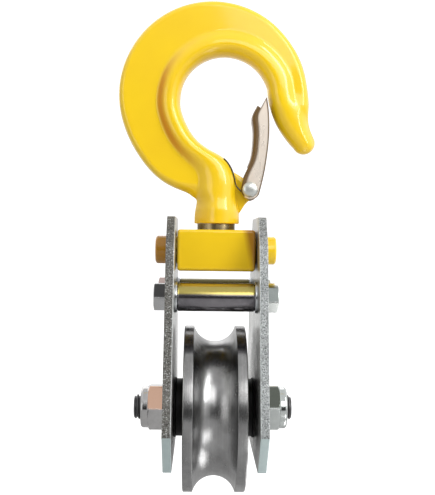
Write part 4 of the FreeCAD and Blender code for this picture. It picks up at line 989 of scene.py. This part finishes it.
def makeStudio():
    # a pale sweep: floor, a curve and a wall behind
    floor, corner, radius, span = (studio[key] for key in ("floorHeight", "wallDistance", "curve", "span"))
    bend = [polar(radius, angle - 90, (corner - radius, floor + radius)) for angle in range(0, 91, 6)]
    profile = [(-span, floor), *bend, (corner, floor + studio["wallHeight"])]
    points = [(x, y, z) for x in (-span, span) for y, z in profile]
    count = len(profile)
    sweep = makeMesh("studio_sweep", points, [(i, i + 1, count + i + 1, count + i) for i in range(count - 1)])
    tree = newFinish("paleSweep")
    pale = tree.blend(tree.ramp(tree.noise(30, 2), 0.3, 0.7), *studio["tones"])
    surface = tree.node("ShaderNodeBsdfDiffuse", sockets={"Color": pale})
    seen, glossy, through = (tree.node("ShaderNodeLightPath", output=f"Is {kind} Ray")
                             for kind in ("Camera", "Glossy", "Transmission"))
    behind = tree.ramp(tree.parts(tree.place())[1], *studio["mirrored"])
    glow = tree.node("ShaderNodeEmission", sockets={
        "Color": (1, 1, 1, 1), "Strength": seen * studio["seen"] + (glossy + through) * behind})
    both = tree.node("ShaderNodeAddShader", sockets={0: surface, 1: glow})
    tree.node("ShaderNodeOutputMaterial", sockets={"Surface": both})
    sweep.data.materials.append(tree.owner)


# by name: place, target, size and power
lamps = {
    "stripSoftbox": ((600, -470, 600), (0, 0, 90), (150, 760), 3.2),
    "frontSoftbox": ((485, -1040, 730), (0, 0, 90), (1100, 620), 5.4),
    "fillSoftbox": ((-700, -700, 100), (0, 0, 60), (500, 700), 1.4),
    "backSoftbox": ((-250, 700, 480), (0, 0, 60), (900, 600), 1.4),
    "tableGlow": ((80, -12, -119), (80, -12, 0), (70, 70), 0.04),
    "frontGlow": ((95, -120, -119), (0, -25, -8), (120, 100), 0.075),
}


def makeLamp(name, spot, target, size, power):
    light = bpy.data.lights.new(name, "AREA")
    light.shape, light.size, light.size_y = "RECTANGLE", size[0] * mm, size[1] * mm
    light.energy = power
    lamp = addObject(name, light)
    lamp.location = Vector(spot) * mm
    lamp.rotation_euler = (Vector(target) - Vector(spot)).to_track_quat("-Z", "Y").to_euler()
    lamp.visible_camera = False


# how light the air is: a base, and what is added from one direction to another
sky = {"base": 0.2, "high": (0.15, 0.7, 0, 0.6), "right": (0.35, 0.8, 0, 0.9), "notAbove": (0.75, 0.3),
       "notBelow": (-0.25, 0.05), "left": (-0.3, -0.9, 0, 0.3), "front": (-0.72, -0.94, 0, 0.17)}


def makeWorld():
    world = bpy.data.worlds.new("studioAir")
    bpy.context.scene.world = world
    air = Finish(world)
    across, depth, up = air.parts(air.node("ShaderNodeTexCoord", output="Generated"))
    right = air.ramp(across, *sky["right"]) * air.ramp(up, *sky["notAbove"]) * air.ramp(up, *sky["notBelow"])
    level = sky["base"] + air.ramp(up, *sky["high"]) + right + air.ramp(across, *sky["left"])
    level = level - air.ramp(depth, *sky["front"])
    seen = air.node("ShaderNodeLightPath", output="Is Camera Ray")
    back = air.node("ShaderNodeBackground", sockets={"Color": (1, 1, 1, 1),
                                                     "Strength": level * (1 - seen) + seen})
    air.node("ShaderNodeOutputWorld", sockets={"Surface": back})


makeStudio()
makeWorld()
for name, look in lamps.items():
    makeLamp(name, *look)

camera = {"place": (-6.21, -303.43, 66.96), "yaw": 1.305, "pitch": -0.553, "roll": 0.72, "lens": 55.1,
          "sensor": 36, "clip": (0.01, 20)}


def makeCamera():
    # looks along Y, turned by yaw to the right, by pitch upwards and by roll about its own axis
    yaw, pitch, roll = (radians(camera[key]) for key in ("yaw", "pitch", "roll"))
    eye = addObject("camera", bpy.data.cameras.new("camera"))
    eye.data.lens, eye.data.sensor_width = camera["lens"], camera["sensor"]
    eye.data.clip_start, eye.data.clip_end = camera["clip"]
    eye.matrix_world = Matrix.Translation(Vector(camera["place"]) * mm) @ Matrix.Rotation(
        -yaw, 4, "Z") @ Matrix.Rotation(pi / 2 + pitch, 4, "X") @ Matrix.Rotation(roll, 4, "Z")
    bpy.context.scene.camera = eye


makeCamera()
bpy.context.scene.view_settings.view_transform = "Standard"
bpy.context.view_layer.update()
print("studio and camera ready")
